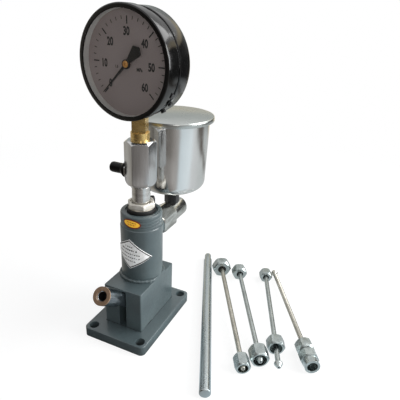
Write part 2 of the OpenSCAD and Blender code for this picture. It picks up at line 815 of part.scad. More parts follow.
module pointer() color("black") in_gauge(lip_t + glass_t + 1.2) rotate(90 + pointer_sweep / 2)
    difference() {
        union() {
            cylinder(r = hub_r, h = 2.6);
            translate([0, 0, 1]) linear_extrude(0.8) {
                polygon([[0, -1.4], [pointer_len, -0.35], [pointer_len, 0.35], [0, 1.4]]);
                polygon([[0, -1.4], [0, 1.4], [-pointer_tail + 4, 6], [-pointer_tail, 0],
                    [-pointer_tail + 4, -6]]);
            }
        }
        translate([0, 0, 0.6]) cylinder(r = arbor_r, h = 3);
    }

// teeth are slim wedges with plenty of backlash
module gear_teeth(count, first, last, pitch_r) {
    for (i = [first:last]) rotate(i * 360 / count)
        polygon([[pitch_r - 1.2 * gear_m, -0.6 * gear_m], [pitch_r + 0.75 * gear_m, -0.3 * gear_m],
            [pitch_r + 0.75 * gear_m, 0.3 * gear_m], [pitch_r - 1.2 * gear_m, 0.6 * gear_m]]);
}

module pinion_shaft() color("gold") {
    r = gear_m * pinion_teeth / 2;
    in_gauge(lip_t + glass_t + 1.8) cylinder(r = arbor_r, h = frame_back + frame_t - 6);
    in_gauge(gear_depth - 0.4) linear_extrude(gear_t + 0.8) {
        circle(r = r - 1.15 * gear_m);
        rotate(-90 + 180 / pinion_teeth) gear_teeth(pinion_teeth, 0, pinion_teeth - 1, r);
    }
}

module sector_gear() color("gold") {
    r = gear_m * sector_teeth / 2;
    step = 360 / sector_teeth;
    last = ceil(sector_sweep / step) + 1;
    in_gauge(gear_depth) translate([0, -pivot_drop, 0]) {
        linear_extrude(gear_t) difference() {
            union() {
                circle(r = 3.5);
                intersection() {
                    circle(r = r - 1.1 * gear_m);
                    polygon([[0, 0], 2 * r * [sin(-1.5 * step), cos(-1.5 * step)],
                        2 * r * [sin((last + 0.5) * step / 2), cos((last + 0.5) * step / 2)],
                        2 * r * [sin((last + 0.5) * step), cos((last + 0.5) * step)]]);
                }
                rotate(90) gear_teeth(sector_teeth, -last, 1, r);
                rotate(-90 - sector_sweep / 2) translate([0, -1.8]) square([tail_r, 3.6]);
                rotate(-90 - sector_sweep / 2) translate([tail_r, 0]) circle(r = 1.8);
            }
        }
        translate([0, 0, plate_depth - gear_depth])
            cylinder(r = arbor_r, h = frame_back + frame_t - plate_depth);
        rotate(-90 - sector_sweep / 2) translate([tail_r, 0, gear_t - 0.4])
            cylinder(r = link_pin_r, h = 2);
    }
}

module link_rod() color("gold") in_gauge(link_depth) translate([-slide_x, -link_low, 0]) {
    difference() {
        linear_extrude(1) {
            circle(r = 1.8);
            translate([link_len, 0]) circle(r = 1.8);
            translate([0, -1.2]) square([link_len, 2.4]);
        }
        translate([0, 0, -cut]) cylinder(r = link_pin_r + run_gap, h = 1 + 2 * cut);
    }
    translate([link_len, 0, 0]) cylinder(r = link_pin_r, h = 2.6);
}

// the tube's free end carries a slotted lug, in which the link's pin runs
module bourdon_tube() color("darkgoldenrod") {
    in_gauge(tube_depth + bourdon_w / 2) difference() {
        rotate(bourdon_end) rotate_extrude(angle = 270 - bourdon_end) difference() {
            bourdon_section(bourdon_t, bourdon_w);
            bourdon_section(bourdon_t - 2 * bourdon_wall, bourdon_w - 2 * bourdon_wall);
        }
        translate([-block_half, -2 * bourdon_r, -bourdon_w])
            cube([2 * block_half, 2 * bourdon_r, 2 * bourdon_w]);
    }
    in_gauge(tube_depth) rotate(bourdon_end)
        translate([bourdon_r - bourdon_t / 2 - 0.5, -2.5, 0])
            cube([bourdon_t + 1, 2.5, bourdon_w]);
    difference() {
        union() {
            in_gauge(lug_depth) translate([link_len - 4.5, lug_low, 0])
                cube([9, lug_top - lug_low, lug_t]);
            in_gauge(lug_depth) translate([link_len - 2.5, lug_top - 2.2, 0]) cube([5, 2, 5]);
        }
        in_gauge(lug_depth - 0.5) translate([link_len, -pivot_drop - slide_drop, 0]) lug_slot();
    }
}

module lug_slot() {
    slot_r = link_pin_r + 0.35;
    for (s = [-1, 1]) translate([s * slide_x, 0, 0]) cylinder(r = slot_r, h = 3);
    translate([-slide_x, -slot_r, 0]) cube([2 * slide_x, 2 * slot_r, 3]);
}

module bourdon_section(t, w) {
    translate([bourdon_r, 0]) {
        translate([-t / 2, -w / 2 + t / 2]) square([t, w - t]);
        translate([0, w / 2 - t / 2]) circle(d = t);
        translate([0, t / 2 - w / 2]) circle(d = t);
    }
}

module movement_frame() color("gold") {
    wing = 11;
    foot = pivot_drop + 4.5;
    difference() {
        union() {
            in_gauge(plate_depth) translate([-wing, -foot, 0]) cube([2 * wing, foot + 8, frame_t]);
            in_gauge(frame_back) translate([-wing, -foot, 0]) cube([2 * wing, foot + 8, frame_t]);
            in_gauge(frame_back) translate([-block_half, stem_foot + 6, 0])
                cube([2 * block_half, -stem_foot, frame_t]);
            for (x = [1.5 - wing, wing - 1.5], z = [6, -pivot_drop - 2])
                in_gauge(plate_depth) translate([x, z, 0]) cylinder(r = 1.5, h = frame_back - plate_depth);
        }
        in_gauge(plate_depth - cut) for (z = [0, -pivot_drop])
            translate([0, z, 0]) cylinder(r = arbor_r + run_gap, h = frame_back);
    }
}

// Oil cup and its line

module feed_union() color("silver") difference() {
    union() {
        along_feed(feed_boss_y - feed_thread_len + 1) cylinder(r = nipple_r, h = feed_thread_len + 3);
        along_feed(feed_boss_y) rotate(90) hex_bar(feed_af, feed_nut_len, 2);
    }
    along_feed(feed_boss_y - feed_thread_len) cylinder(r = oil_way_r, h = feed_nut_end);
    along_feed(feed_nut_end - feed_socket_len) cylinder(r = nipple_r, h = feed_socket_len + cut);
}

module feed_bar() color("silver") difference() {
    union() {
        along_feed(feed_nut_end - feed_socket_len) cylinder(r = nipple_r, h = feed_socket_len + 2);
        along_feed(feed_nut_end) rotate_extrude() polygon([[0, 0], [feed_bar_r - 1, 0],
            [feed_bar_r, 1], [feed_bar_r, feed_bar_len - 1.5], [feed_bar_r - 1.5, feed_bar_len],
            [0, feed_bar_len]]);
    }
    along_feed(feed_nut_end - feed_socket_len - cut) cylinder(r = oil_way_r, h = feed_bar_end);
    along_feed(feed_bar_end - feed_socket_len)
        cylinder(r = plug_thread_r, h = feed_socket_len + cut);
    translate([-feed_bar_r, feed_nut_end - cut, flat_z])
        cube([2 * feed_bar_r, feed_bar_len + 2 * cut, feed_bar_r]);
    translate([0, cup_y, feed_z]) cylinder(r = oil_way_r, h = feed_bar_r);
    translate([0, cup_y, flat_z - cup_thread_len])
        cylinder(r = cup_thread_r, h = cup_thread_len + cut);
}

module feed_plug() color("gray") along_feed(feed_bar_end - feed_socket_len + 1) difference() {
    union() {
        cylinder(r = plug_thread_r, h = feed_socket_len - 1);
        translate([0, 0, feed_socket_len - 1]) hex_bar(feed_plug_af, feed_plug_h, 0.8);
    }
    translate([0, 0, -cut]) cylinder(r = oil_way_r, h = feed_socket_len / 2);
}

module cup_nut() color("black") translate([0, cup_y, flat_z]) difference() {
    union() {
        translate([0, 0, 1 - cup_thread_len]) cylinder(r = cup_thread_r, h = cup_thread_len);
        rotate(30) hex_bar(cup_nut_af, cup_nut_h, 1.2);
        cylinder(r = cup_tail_r, h = cup_nut_h + cup_wall + 4);
    }
    translate([0, 0, -cup_thread_len])
        cylinder(r = oil_way_r, h = cup_thread_len + cup_nut_h + cup_wall + 5);
}

module cup_strainer() color("gainsboro") translate([0, cup_y, cup_z + cup_wall + seat_gap]) difference() {
    union() {
        tube(strainer_r + strainer_rim, cup_tail_r + run_gap, strainer_wall);
        translate([0, 0, strainer_wall]) cylinder(r = strainer_r, h = strainer_h);
    }
    translate([0, 0, -cut]) cylinder(r = strainer_r - strainer_wall, h = strainer_h + cut);
    for (a = [0:45:315], z = [1:3]) translate([0, 0, z * strainer_h / 4 + strainer_wall])
        rotate([90, 0, a]) translate([0, 0, strainer_r / 2]) cylinder(r = strainer_hole, h = strainer_r);
}

module oil_cup() color("gainsboro") translate([0, cup_y, cup_z]) difference() {
    rotate_extrude() difference() {
        cup_outline(0, 0);
        cup_outline(cup_wall, cup_wall);
    }
    translate([0, 0, -cut]) cylinder(r = cup_tail_r, h = cup_wall + 2 * cut);
}

// half section of the cup, drawn in by the given wall and raised by the given floor
module cup_outline(wall, floor_t) {
    r = cup_round - wall;
    slope = (cup_rim_r - cup_foot_r) / cup_h;
    polygon(concat([[0, floor_t]],
        [for (a = [0:15:90]) [cup_foot_r - cup_round + r * sin(a), cup_round - r * cos(a)]],
        [[cup_foot_r - wall + slope * cup_h, cup_h + floor_t], [0, cup_h + floor_t]]));
}

module cup_lid() color("lightgray") translate([0, cup_y, cup_rim_z]) {
    bead = 1.4;
    skirt_t = 1.2;
    rotate_extrude() union() {
        translate([0, 0]) square([lid_r - bead, lid_t]);
        translate([lid_r - skirt_t, lid_t - lid_skirt + bead / 2])
            square([skirt_t, lid_skirt - bead / 2 - bead]);
        translate([lid_r - bead, lid_t - bead]) intersection() {
            circle(r = bead);
            square(bead);
        }
        translate([lid_r - bead, lid_t - 2 * bead]) square([bead, bead]);
        translate([lid_r - bead - 0.6, lid_t - 2 * bead + 0.2]) square([1, 2 * bead - 0.2]);
        translate([lid_r - bead / 2, lid_t - lid_skirt + bead / 2]) circle(r = bead / 2);
    }
    translate([0, 0, -3.5])
        tube(cup_rim_r - cup_wall - free_gap, cup_rim_r - 2 * cup_wall - free_gap, 3.6);
}

// Plate and sticker, cut from thin shells round the column

module wrapped(r, t, dir, z, reach) {
    at_column() intersection() {
        translate([0, 0, z - reach]) tube(r + t, r, 2 * reach);
        translate([0, 0, z]) rotate([90, 0, dir]) linear_extrude(r + 2 * t) children();
    }
}

// a length along the surface, seen square from the front
function bent(s, r) = r * sin(s * 180 / PI / r);

module name_plate() color("white") wrapped(column_r, plate_t, plate_dir, plate_z, plate_h) {
    corner = [[-plate_len / 2, plate_lean], [0, plate_h / 2], [plate_len / 2, -plate_lean],
        [0, -plate_h / 2]];
    steps = 6;
    polygon([for (k = [0:3], i = [0:steps - 1])
        let (p = corner[k] + (corner[(k + 1) % 4] - corner[k]) * i / steps)
        [bent(p[0], column_r), p[1]]]);
}

module oval_sticker() color("orange") wrapped(band_r, sticker_t, sticker_dir, sticker_z, sticker_h)
    polygon([for (a = [0:10:350])
        let (x = sticker_w / 2 * cos(a), y = sticker_h / 2 * sin(a))
        [bent(x * cos(sticker_lean) + y * sin(sticker_lean), band_r),
            y * cos(sticker_lean) - x * sin(sticker_lean)]]);

// Loose pieces

module handle_bar() color("silver")
    translate([handle_near[0], handle_near[1], handle_r + lie_gap])
        rotate([0, 90, atan2(handle_far[1] - handle_near[1], handle_far[0] - handle_near[0])])
            rotate_extrude() polygon([[0, 0], [handle_r - 1, 0], [handle_r, 1],
                [handle_r, handle_len - handle_tip_len], [handle_tip_r, handle_len - handle_tip_len],
                [handle_tip_r, handle_len - 1], [handle_tip_r - 1, handle_len], [0, handle_len]]);

function pipe_run(i) = norm(pipe_near[i] - pipe_far[i]);
function pipe_len(i) = norm([pipe_run(i), far_h[i] - near_h[i]]);

// +Z along a pipe, from its far end
module along_pipe(i, d = 0) {
    line = pipe_near[i] - pipe_far[i];
    translate([pipe_far[i][0], pipe_far[i][1], far_h[i] + lie_gap])
        rotate([0, 90 + atan((far_h[i] - near_h[i]) / pipe_run(i)), atan2(line[1], line[0])])
            translate([0, 0, d]) children();
}

module pipe(i) {
    l = pipe_len(i);
    along_pipe(i) rotate_extrude() polygon([[tube_bore_r, 0], [tube_bore_r + 1.2, 0], [cone_r, cone_len],
        [cone_r, cone_len + 1], [tube_r, cone_len + 2.5], [tube_r, l - cone_len - 2.5],
        [cone_r, l - cone_len - 1], [cone_r, l - cone_len], [tube_bore_r + 1.2, l], [tube_bore_r, l]]);
}

// union nut, closed at z = 0 and open at z = len
module union_nut(af, len) {
    wall = 4;
    thread = af / 2 - 2.2;
    difference() {
        hex_bar(af, len, 0.12 * af, 0.9);
        translate([0, 0, -cut]) cylinder(r = tube_r + 2 * run_gap, h = len + 2 * cut);
        translate([0, 0, wall]) cylinder(r = thread, h = len);
    }
}

module far_nut(i, af, len) along_pipe(i, len) rotate(30) mirror([0, 0, 1])
    union_nut(af, len);
module near_nut(i, af, len, back = 0) along_pipe(i, pipe_len(i) - back - len) rotate(30)
    union_nut(af, len);

module pipe_1() color("silver") pipe(0);
module pipe_2() color("silver") pipe(1);
module pipe_3() color("silver") pipe(2);

// the fourth pipe ends inside its connector
module pipe_4() color("silver") {
    l = pipe_len(3) - connector_len + 4;
    along_pipe(3) rotate_extrude() polygon([[tube_bore_r, 0], [tube_bore_r + 1.2, 0], [cone_r, cone_len],
        [cone_r, cone_len + 1], [tube_r, cone_len + 2.5], [tube_r, l], [tube_bore_r, l]]);
}

module pipe_1_far_nut() color("silver") far_nut(0, nut_af_huge, nut_len);
module pipe_1_near_nut() color("silver") near_nut(0, nut_af_small, nut_long);
module pipe_2_far_nut() color("silver") far_nut(1, nut_af_middle, nut_len);
module pipe_2_near_nut() color("silver") near_nut(1, nut_af_large, nut_long, 2);
module pipe_3_far_nut() color("silver") far_nut(2, nut_af_small, nut_len);
module pipe_3_near_nut() color("silver") near_nut(2, nut_af_middle, nut_len + 1, back_off);
module pipe_4_nut() color("silver") near_nut(3, nut_af_middle, nut_len + 1, connector_len + 2);

module pipe_4_connector() color("silver") along_pipe(3, pipe_len(3) - connector_len) difference() {
    union() {
        rotate(30) hex_bar(nut_af_middle, connector_hex, 1);
        cylinder(r = nut_af_middle / 2 - 0.8, h = connector_len);
    }
    translate([0, 0, -cut]) cylinder(r = tube_r, h = 5 + cut);
    translate([0, 0, 4]) cylinder(r = tube_bore_r, h = connector_len);
    translate([0, 0, connector_len - 13]) cylinder(r = 6, h = 13 + cut);
}

base_plate();
pump_body();
pivot_pin();
pivot_plug();
lever();
tappet();
plunger();
plunger_spring();
pump_barrel();
delivery_seat();
delivery_valve();
delivery_spring();
column_washer();
clamp_nut();
head_stem();
pressure_head();
outlet_union();
dust_cap();
bleed_screw();
gauge_washer();
gauge_stem();
gauge_case();
bezel_ring();
gauge_glass();
dial_plate();
pointer();
pinion_shaft();
sector_gear();
link_rod();
bourdon_tube();
movement_frame();
case_screws();
feed_union();
feed_bar();
feed_plug();
cup_nut();
cup_strainer();
oil_cup();
cup_lid();
name_plate();
oval_sticker();
handle_bar();
pipe_1();
pipe_2();
pipe_3();
pipe_4();
pipe_1_far_nut();
pipe_1_near_nut();
pipe_2_far_nut();
pipe_2_near_nut();
pipe_3_far_nut();
pipe_3_near_nut();
pipe_4_nut();
pipe_4_connector();
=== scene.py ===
# %% [markdown]
# # An injector pressure tester
# The tester is a lever pump on a cast body. A round gauge stands on a zinc-plated hexagon head,
# an oil cup stands on a short line behind it, and a handle bar and four pipes lie beside it.
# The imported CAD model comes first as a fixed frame. It could be finished as it is, but its
# curved faces are loose triangles, so most visible pieces are modelled again on its sizes.

# %% Load the frame
import math

import bmesh
import bpy
from mathutils import Matrix, Vector, noise


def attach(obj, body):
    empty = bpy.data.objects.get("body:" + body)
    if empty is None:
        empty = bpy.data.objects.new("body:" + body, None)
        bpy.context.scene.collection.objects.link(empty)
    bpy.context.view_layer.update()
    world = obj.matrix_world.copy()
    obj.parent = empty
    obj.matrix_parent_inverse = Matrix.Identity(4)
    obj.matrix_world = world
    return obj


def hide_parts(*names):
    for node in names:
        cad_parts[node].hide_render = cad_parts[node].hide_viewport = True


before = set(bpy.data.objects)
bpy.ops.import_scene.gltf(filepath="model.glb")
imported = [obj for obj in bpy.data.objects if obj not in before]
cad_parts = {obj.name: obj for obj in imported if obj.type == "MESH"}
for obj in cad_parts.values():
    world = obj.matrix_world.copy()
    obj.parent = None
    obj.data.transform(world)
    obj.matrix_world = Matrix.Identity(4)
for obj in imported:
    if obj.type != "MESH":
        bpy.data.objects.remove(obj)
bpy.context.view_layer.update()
MM = 0.001

# %% [markdown]
# ## Camera
# The photograph was taken from the right and from above, with the camera tipped a little.
# The lens could be set by eye. Here the eye point, the three angles and the lens are the ones
# that put the gauge's ellipses and the base plate's corners where the photograph has them.

# %% Place the camera
EYE, LENS = Vector((235.384, -368.690, 362.813)), 37.71
TURN, DIP, LEAN = (math.radians(a) for a in (23.2597, 24.2653, 2.7265))
ahead = Vector((-math.sin(TURN) * math.cos(DIP), math.cos(TURN) * math.cos(DIP), -math.sin(DIP)))
level = Vector((math.cos(TURN), math.sin(TURN), 0))
upright = level.cross(ahead)
across = level * math.cos(LEAN) + upright * math.sin(LEAN)
above = upright * math.cos(LEAN) - level * math.sin(LEAN)
camera = bpy.data.objects.new("camera", bpy.data.cameras.new("camera"))
camera.matrix_world = (Matrix.Translation(EYE * MM)
                       @ Matrix((across, above, -ahead)).transposed().to_4x4())
camera.data.lens = LENS
camera.data.clip_start = 0.01
scene = bpy.context.scene
scene.collection.objects.link(camera)
scene.camera = camera
print("camera looks along", tuple(round(v, 3) for v in ahead))

# %% [markdown]
# ## Floor, lamps and sky
# A net of shader nodes can be clicked together in the editor. In a script each node takes the
# same few lines, so one helper adds a node, sets it, fills its sockets and links them.


# %% Add a node
def fill(node, values):
    for socket, value in values.items():
        node.inputs[socket].default_value = value


def add_node(net, kind, values=None, links=None, **settings):
    """values fill sockets, links join them to a node or to one output of it."""
    made = net.nodes.new("ShaderNode" + kind)
    for name, value in settings.items():
        setattr(made, name, value)
    fill(made, values or {})
    for socket, source in (links or {}).items():
        if isinstance(source, bpy.types.Node):
            source = source.outputs[0]
        net.links.new(source, made.inputs[socket])
    return made


def bare_material(name):
    material = bpy.data.materials.new(name)
    material.use_nodes = True
    material.node_tree.nodes.clear()
    return material


trial = bare_material("trial")
add_node(trial.node_tree, "Emission")
print("nodes in a bare material after one is added:", len(trial.node_tree.nodes))
bpy.data.materials.remove(trial)

# %% [markdown]
# A product photograph stands on white paper, lit by one wide soft box, here on the right and a
# little behind. A brighter lamp would clip the tinned cup, so the white comes from the paper and
# the sky themselves: camera, mirror and glass rays see them white, and only other rays are lit.

# %% White for some rays
scene.view_settings.view_transform = "Standard"
print("view transform:", scene.view_settings.view_transform)


def light_path_mix(net, shader, white):
    """Camera, mirror and glass rays see the white shader; all other rays see the first."""
    path = add_node(net, "LightPath")
    total = path.outputs["Is Camera Ray"]
    for ray in ("Is Glossy Ray", "Is Transmission Ray"):
        total = add_node(net, "Math", links={0: total, 1: path.outputs[ray]},
                         operation="ADD", use_clamp=True)
    return add_node(net, "MixShader", links={"Fac": total, 1: shader, 2: white})


# %% [markdown]
# The paper could be one bright emission, but then no shadow would lie on it. What the camera
# sees is a glow plus a dim matte part. The matte part takes the shadows, and fades out away
# from the object, where the lamps no longer reach and the paper would turn grey.

# %% Pale floor
FLOOR_HALF, PAPER_GLOW, FADE_START, FADE_END = 6, 0.86, 0.45, 0.9
paper = bare_material("paper")
paper_net = paper.node_tree
lit = add_node(paper_net, "BsdfDiffuse", {"Color": (0.5, 0.5, 0.5, 1)})
dim = add_node(paper_net, "BsdfDiffuse", {"Color": (0.227, 0.227, 0.227, 1)})
glow = add_node(paper_net, "Emission", {"Strength": PAPER_GLOW})
near = add_node(paper_net, "AddShader", links={0: dim, 1: glow})
away = add_node(paper_net, "VectorMath", operation="LENGTH",
                links={0: add_node(paper_net, "TexCoord").outputs["Object"]})
fade = add_node(paper_net, "MapRange", {"From Min": FADE_START, "From Max": FADE_END},
                {"Value": away.outputs["Value"]})
seen = add_node(paper_net, "MixShader",
                links={"Fac": fade, 1: near, 2: add_node(paper_net, "Emission")})
add_node(paper_net, "OutputMaterial", links={"Surface": light_path_mix(paper_net, lit, seen)})


def as_object(name, bm):
    """Puts a finished shape in the scene."""
    mesh = bpy.data.meshes.new(name)
    bm.to_mesh(mesh)
    bm.free()
    made = bpy.data.objects.new(name, mesh)
    scene.collection.objects.link(made)
    return made


floor_bm = bmesh.new()
bmesh.ops.create_grid(floor_bm, x_segments=1, y_segments=1, size=FLOOR_HALF)
floor = as_object("floor", floor_bm)
floor.data.materials.append(paper)
print("floor is", floor.data.vertices[-1].co.x * 2, "m wide")

# %% [markdown]
# The pale walls of a room fill the shadows with weak light. Many weak lamps could do the same,
# but each would show as a spot in the metal. A plain, slightly blue sky has no edges.

# %% Sky
world = bpy.data.worlds.new("studio")
scene.world = world
world.use_nodes = True
sky = world.node_tree
sky.nodes.clear()
sky_soft = add_node(sky, "Background", {"Color": (0.94, 0.97, 1, 1), "Strength": 0.27})
sky_white = add_node(sky, "Background", {"Color": (1, 1, 1, 1)})
add_node(sky, "OutputWorld", links={"Surface": light_path_mix(sky, sky_soft, sky_white)})
print("sky strength:", sky_soft.inputs["Strength"].default_value)

# %% [markdown]
# The large soft box stands on the right. A smaller one above and a weak, warm one in front
# lighten what it leaves dark. Sun lamps would draw hard shadows, and the photograph has none,
# so all three are area lamps turned towards the tester.


# %% Soft boxes
def soft_box(name, place, aim, width, height, watts, tint=(1, 1, 1)):
    lamp = bpy.data.lights.new(name, "AREA")
    lamp.shape = "RECTANGLE"
    lamp.size, lamp.size_y, lamp.energy, lamp.color = width, height, watts, tint
    box = bpy.data.objects.new(name, lamp)
    towards = Vector(aim) - Vector(place)
    box.matrix_world = (Matrix.Translation(place)
                        @ towards.to_track_quat("-Z", "Y").to_matrix().to_4x4())
    scene.collection.objects.link(box)


soft_box("side_box", (1.45, 0.42, 0.62), (0, 0.05, 0.17), 1.1, 1.0, 30, (0.97, 0.99, 1))
soft_box("top_box", (0.75, 0.9, 1.45), (0, 0.05, 0.1), 0.9, 0.9, 9.8)
soft_box("front_box", (0.95, -1.15, 0.75), (0, 0, 0.15), 0.35, 0.35, 2.6, (1, 0.97, 0.94))

# %% [markdown]
# ### Grey cards
# Shiny metal only shows what stands round it. With white on every side a zinc hexagon would
# look like chalk, so a ring of grey cards lies and stands round the tester, as in a
# photographer's tent. Only reflections see it. It is dim in front, where the photographer
# stands, pale on the right and behind, and leaves the white sky open above.

# %% Tones of the cards
# Degrees round from the front over the right, and the card's colour there
CARDS = [(-180, (0.62, 0.63, 0.63)), (-130, (0.5, 0.5, 0.5)), (-95, (0.46, 0.44, 0.40)),
         (-60, (0.34, 0.32, 0.28)), (-30, (0.085, 0.076, 0.07)), (0, (0.15, 0.137, 0.127)),
         (25, (0.21, 0.195, 0.182)), (38, (0.33, 0.31, 0.295)), (52, (0.46, 0.45, 0.44)),
         (60, (0.74, 0.83, 0.88)), (94, (0.87, 0.95, 0.99)), (105, (0.78, 0.80, 0.82)),
         (150, (0.68, 0.73, 0.74)), (180, (0.62, 0.63, 0.63))]
DARK, SHADE, HAZE = (0.05, 0.05, 0.05), (0.17, 0.155, 0.14), (0.46, 0.49, 0.48)
WARM, SUNNY, SIDES = (1.2, 1.05, 0.76), (1.1, 0.96, 0.68), CARDS[2:9]
# Right under the tester, where little light comes, and close by in front, for the cup's foot
UNDER = [(a, tuple(v * 0.15 for v in c)) for a, c in CARDS]
NEAR = [(a, tuple(v + 0.17 for v in c) if -10 < a < 45 else c) for a, c in CARDS]
# The far wall, from its foot up, which only the gauge's case and the lid are high enough to see
FAR = [(-180, SUNNY), (-130, (0.8, 0.72, 0.56)), *SIDES, (98, (0.5, 0.5, 0.5)), (120, DARK),
       (166, DARK), (180, SUNNY)]
MIDDLE = [(-180, HAZE), (-130, HAZE), *SIDES, (98, (0.8, 0.88, 0.93)), (120, DARK),
          (160, (0.1, 0.1, 0.1)), (180, HAZE)]
HIGH = [(-180, WARM), (-172, (0.8, 0.75, 0.6)), (-166, HAZE), *SIDES, (98, (0.82, 0.90, 0.94)),
        (140, WARM), (180, WARM)]


def with_gap(low, high, edge=10):
    """The cards with a dark gap between two bearings."""
    kept = [card for card in CARDS if not low - edge <= card[0] <= high + edge]
    gap = [(low - edge, (0.74, 0.77, 0.78)), (low, SHADE), (high, SHADE),
           (high + edge, (0.7, 0.74, 0.75))]
    return sorted(kept + gap)


def card_tone(degrees, tones):
    for (a, low), (b, high) in zip(tones, tones[1:]):
        if a <= degrees <= b:
            part = (degrees - a) / (b - a)
            return [u + (v - u) * part for u, v in zip(low, high)]


print("tones round the tester:", len(CARDS))

# %% [markdown]
# Each card could be a plane of its own, but their seams would show in the metal. One mesh of
# circles, each a little further out or higher than the last, has none. Its points are placed
# one by one, because each keeps its own colour in an attribute.

# %% Build the cards
CARD_LIFT, WALL_R, CARD_POINTS = 0.0003, 2.2, 120
lying = [(0.04, UNDER), (0.12, CARDS), (0.27, CARDS), (0.3, NEAR), (0.39, NEAR), (0.45, CARDS),
         (0.52, CARDS), (0.58, with_gap(156, 168)), (0.65, with_gap(134, 150)),
         (0.72, with_gap(120, 138)), (0.8, with_gap(118, 136)), (1.1, FAR), (WALL_R, FAR)]
standing = [(0.44, FAR), (0.5, MIDDLE), (1.0, MIDDLE), (1.08, HIGH), (1.3, HIGH)]
cards_bm = bmesh.new()
tone = cards_bm.verts.layers.float_color.new("tone")
rings = []
for radius, height, tones in ([(r, CARD_LIFT, t) for r, t in lying]
                              + [(WALL_R, h, t) for h, t in standing]):
    rings.append([])
    for step in range(CARD_POINTS):
        degrees = step * 360 / CARD_POINTS - 180
        a = math.radians(degrees)
        point = cards_bm.verts.new((radius * math.sin(a), -radius * math.cos(a), height))
        point[tone] = (*card_tone(degrees, tones), 1)
        rings[-1].append(point)
for inner, outer in zip(rings, rings[1:]):
    for k in range(CARD_POINTS):
        cards_bm.faces.new((inner[k], inner[k - 1], outer[k - 1], outer[k]))
cards = as_object("grey_cards", cards_bm)
card_paint = bare_material("card_paint")
card_tones = add_node(card_paint.node_tree, "Attribute", attribute_name="tone")
card_glow = add_node(card_paint.node_tree, "Emission",
                     links={"Color": card_tones.outputs["Color"]})
add_node(card_paint.node_tree, "OutputMaterial", links={"Surface": card_glow})
cards.data.materials.append(card_paint)
cards.visible_camera = cards.visible_diffuse = cards.visible_shadow = False
cards.visible_transmission = cards.visible_volume_scatter = False
print("faces of the cards:", len(cards.data.polygons))

# %% [markdown]
# ## Finishes
# Each finish is a small net of nodes round one shader. A single colour would look like plastic
# on every piece, so noise on Object coordinates, which stay the same however the piece is
# turned, varies colour and gloss and lays a fine bump over the surface. The first one is a
# dull black, painted shade for the gap under the block, the lever's bore and the nuts' hollows.

# %% A finish from noise
NOISE_RANGE = {"From Min": 0.3, "From Max": 0.7}


def finish(name, dark, light, gloss=(0.3, 0.5), metal=0.0, patch=40.0, grain=900.0,
           bump=0.02, stretch=(1, 1, 1), coat=0.0, level=0.5, waves=None, coat_gloss=0.12):
    """dark and light are the two colours; gloss is the lowest and highest roughness; waves is
    the size and depth in millimetres of slow dents that bend the reflections."""
    material = bpy.data.materials.new(name)
    material.use_nodes = True
    net = material.node_tree
    shader = net.nodes["Principled BSDF"]
    fill(shader, {"Metallic": metal, "Specular IOR Level": level, "Coat Weight": coat,
                  "Coat Roughness": coat_gloss})
    coords = add_node(net, "TexCoord").outputs["Object"]
    mapping = add_node(net, "Mapping", {"Scale": stretch}, {"Vector": coords})
    blotch = add_node(net, "TexNoise", {"Scale": patch, "Detail": 5}, {"Vector": mapping})
    spread = add_node(net, "MapRange", NOISE_RANGE, {"Value": blotch})
    tint = add_node(net, "Mix", {"A": (*dark, 1), "B": (*light, 1)}, {"Factor": spread},
                    data_type="RGBA", name="tint")
    speck = add_node(net, "TexNoise", {"Scale": grain, "Detail": 3}, {"Vector": mapping})
    sheen = add_node(net, "MapRange", {**NOISE_RANGE, "To Min": gloss[0], "To Max": gloss[1]},
                     {"Value": speck})
    relief = add_node(net, "Bump", {"Distance": bump * MM}, {"Height": speck})
    if waves:
        slow = add_node(net, "TexNoise", {"Scale": 1 / (waves[0] * MM), "Detail": 1},
                        {"Vector": coords})
        dents = add_node(net, "Bump", {"Distance": waves[1] * MM}, {"Height": slow})
        net.links.new(dents.outputs[0], relief.inputs["Normal"])
    net.links.new(tint.outputs["Result"], shader.inputs["Base Color"])
    net.links.new(sheen.outputs[0], shader.inputs["Roughness"])
    net.links.new(relief.outputs[0], shader.inputs["Normal"])
    return material


# Painted light: the material glows a little, though it is no lamp.
def self_lit(material, colour, strength):
    fill(material.node_tree.nodes["Principled BSDF"],
         {"Emission Color": (*colour, 1), "Emission Strength": strength})


# Painted shade: a dull black laid into gaps, bores and hollows where shade falls.
painted_shade_black = finish("painted_shade_black", (0.004, 0.004, 0.004), (0.016, 0.015, 0.014), (0.6, 0.8))
print("nodes of one finish:", len(painted_shade_black.node_tree.nodes))

# %% [markdown]
# ### Paints, rubber and print
# The casting wears a thick blue-grey paint with a shine, the gauge a smooth black enamel.
# Ready-made colours could stand in, but the photograph's paints are darker than they look: each
# was set against it. Bright print on the sticker is given a little light of its own.

# %% Paints, rubber and plastic
body_paint = finish("body_paint", (0.068, 0.092, 0.099), (0.089, 0.121, 0.128), (0.3, 0.46),
                    patch=35, grain=420, bump=0.09, coat=0.45, coat_gloss=0.2, waves=(9, 0.16))
black_rubber = finish("black_rubber", (0.004, 0.004, 0.004), (0.01, 0.01, 0.01), (0.5, 0.7),
                      grain=1200, bump=0.03)
black_plastic = finish("black_plastic", (0.001, 0.001, 0.001), (0.003, 0.003, 0.003), (0.2, 0.3),
                       grain=1500, bump=0.01, level=0.12)
enamel = finish("enamel", (0.0015, 0.0015, 0.0015), (0.003, 0.003, 0.003), (0.1, 0.18),
                patch=20, grain=260, bump=0.01, level=0.5, waves=(6, 0.05))
print_black = finish("print_black", (0.006, 0.005, 0.005), (0.012, 0.01, 0.01), (0.5, 0.6))
pointer_black = finish("pointer_black", (0.005, 0.004, 0.003), (0.012, 0.008, 0.006), (0.35, 0.5))
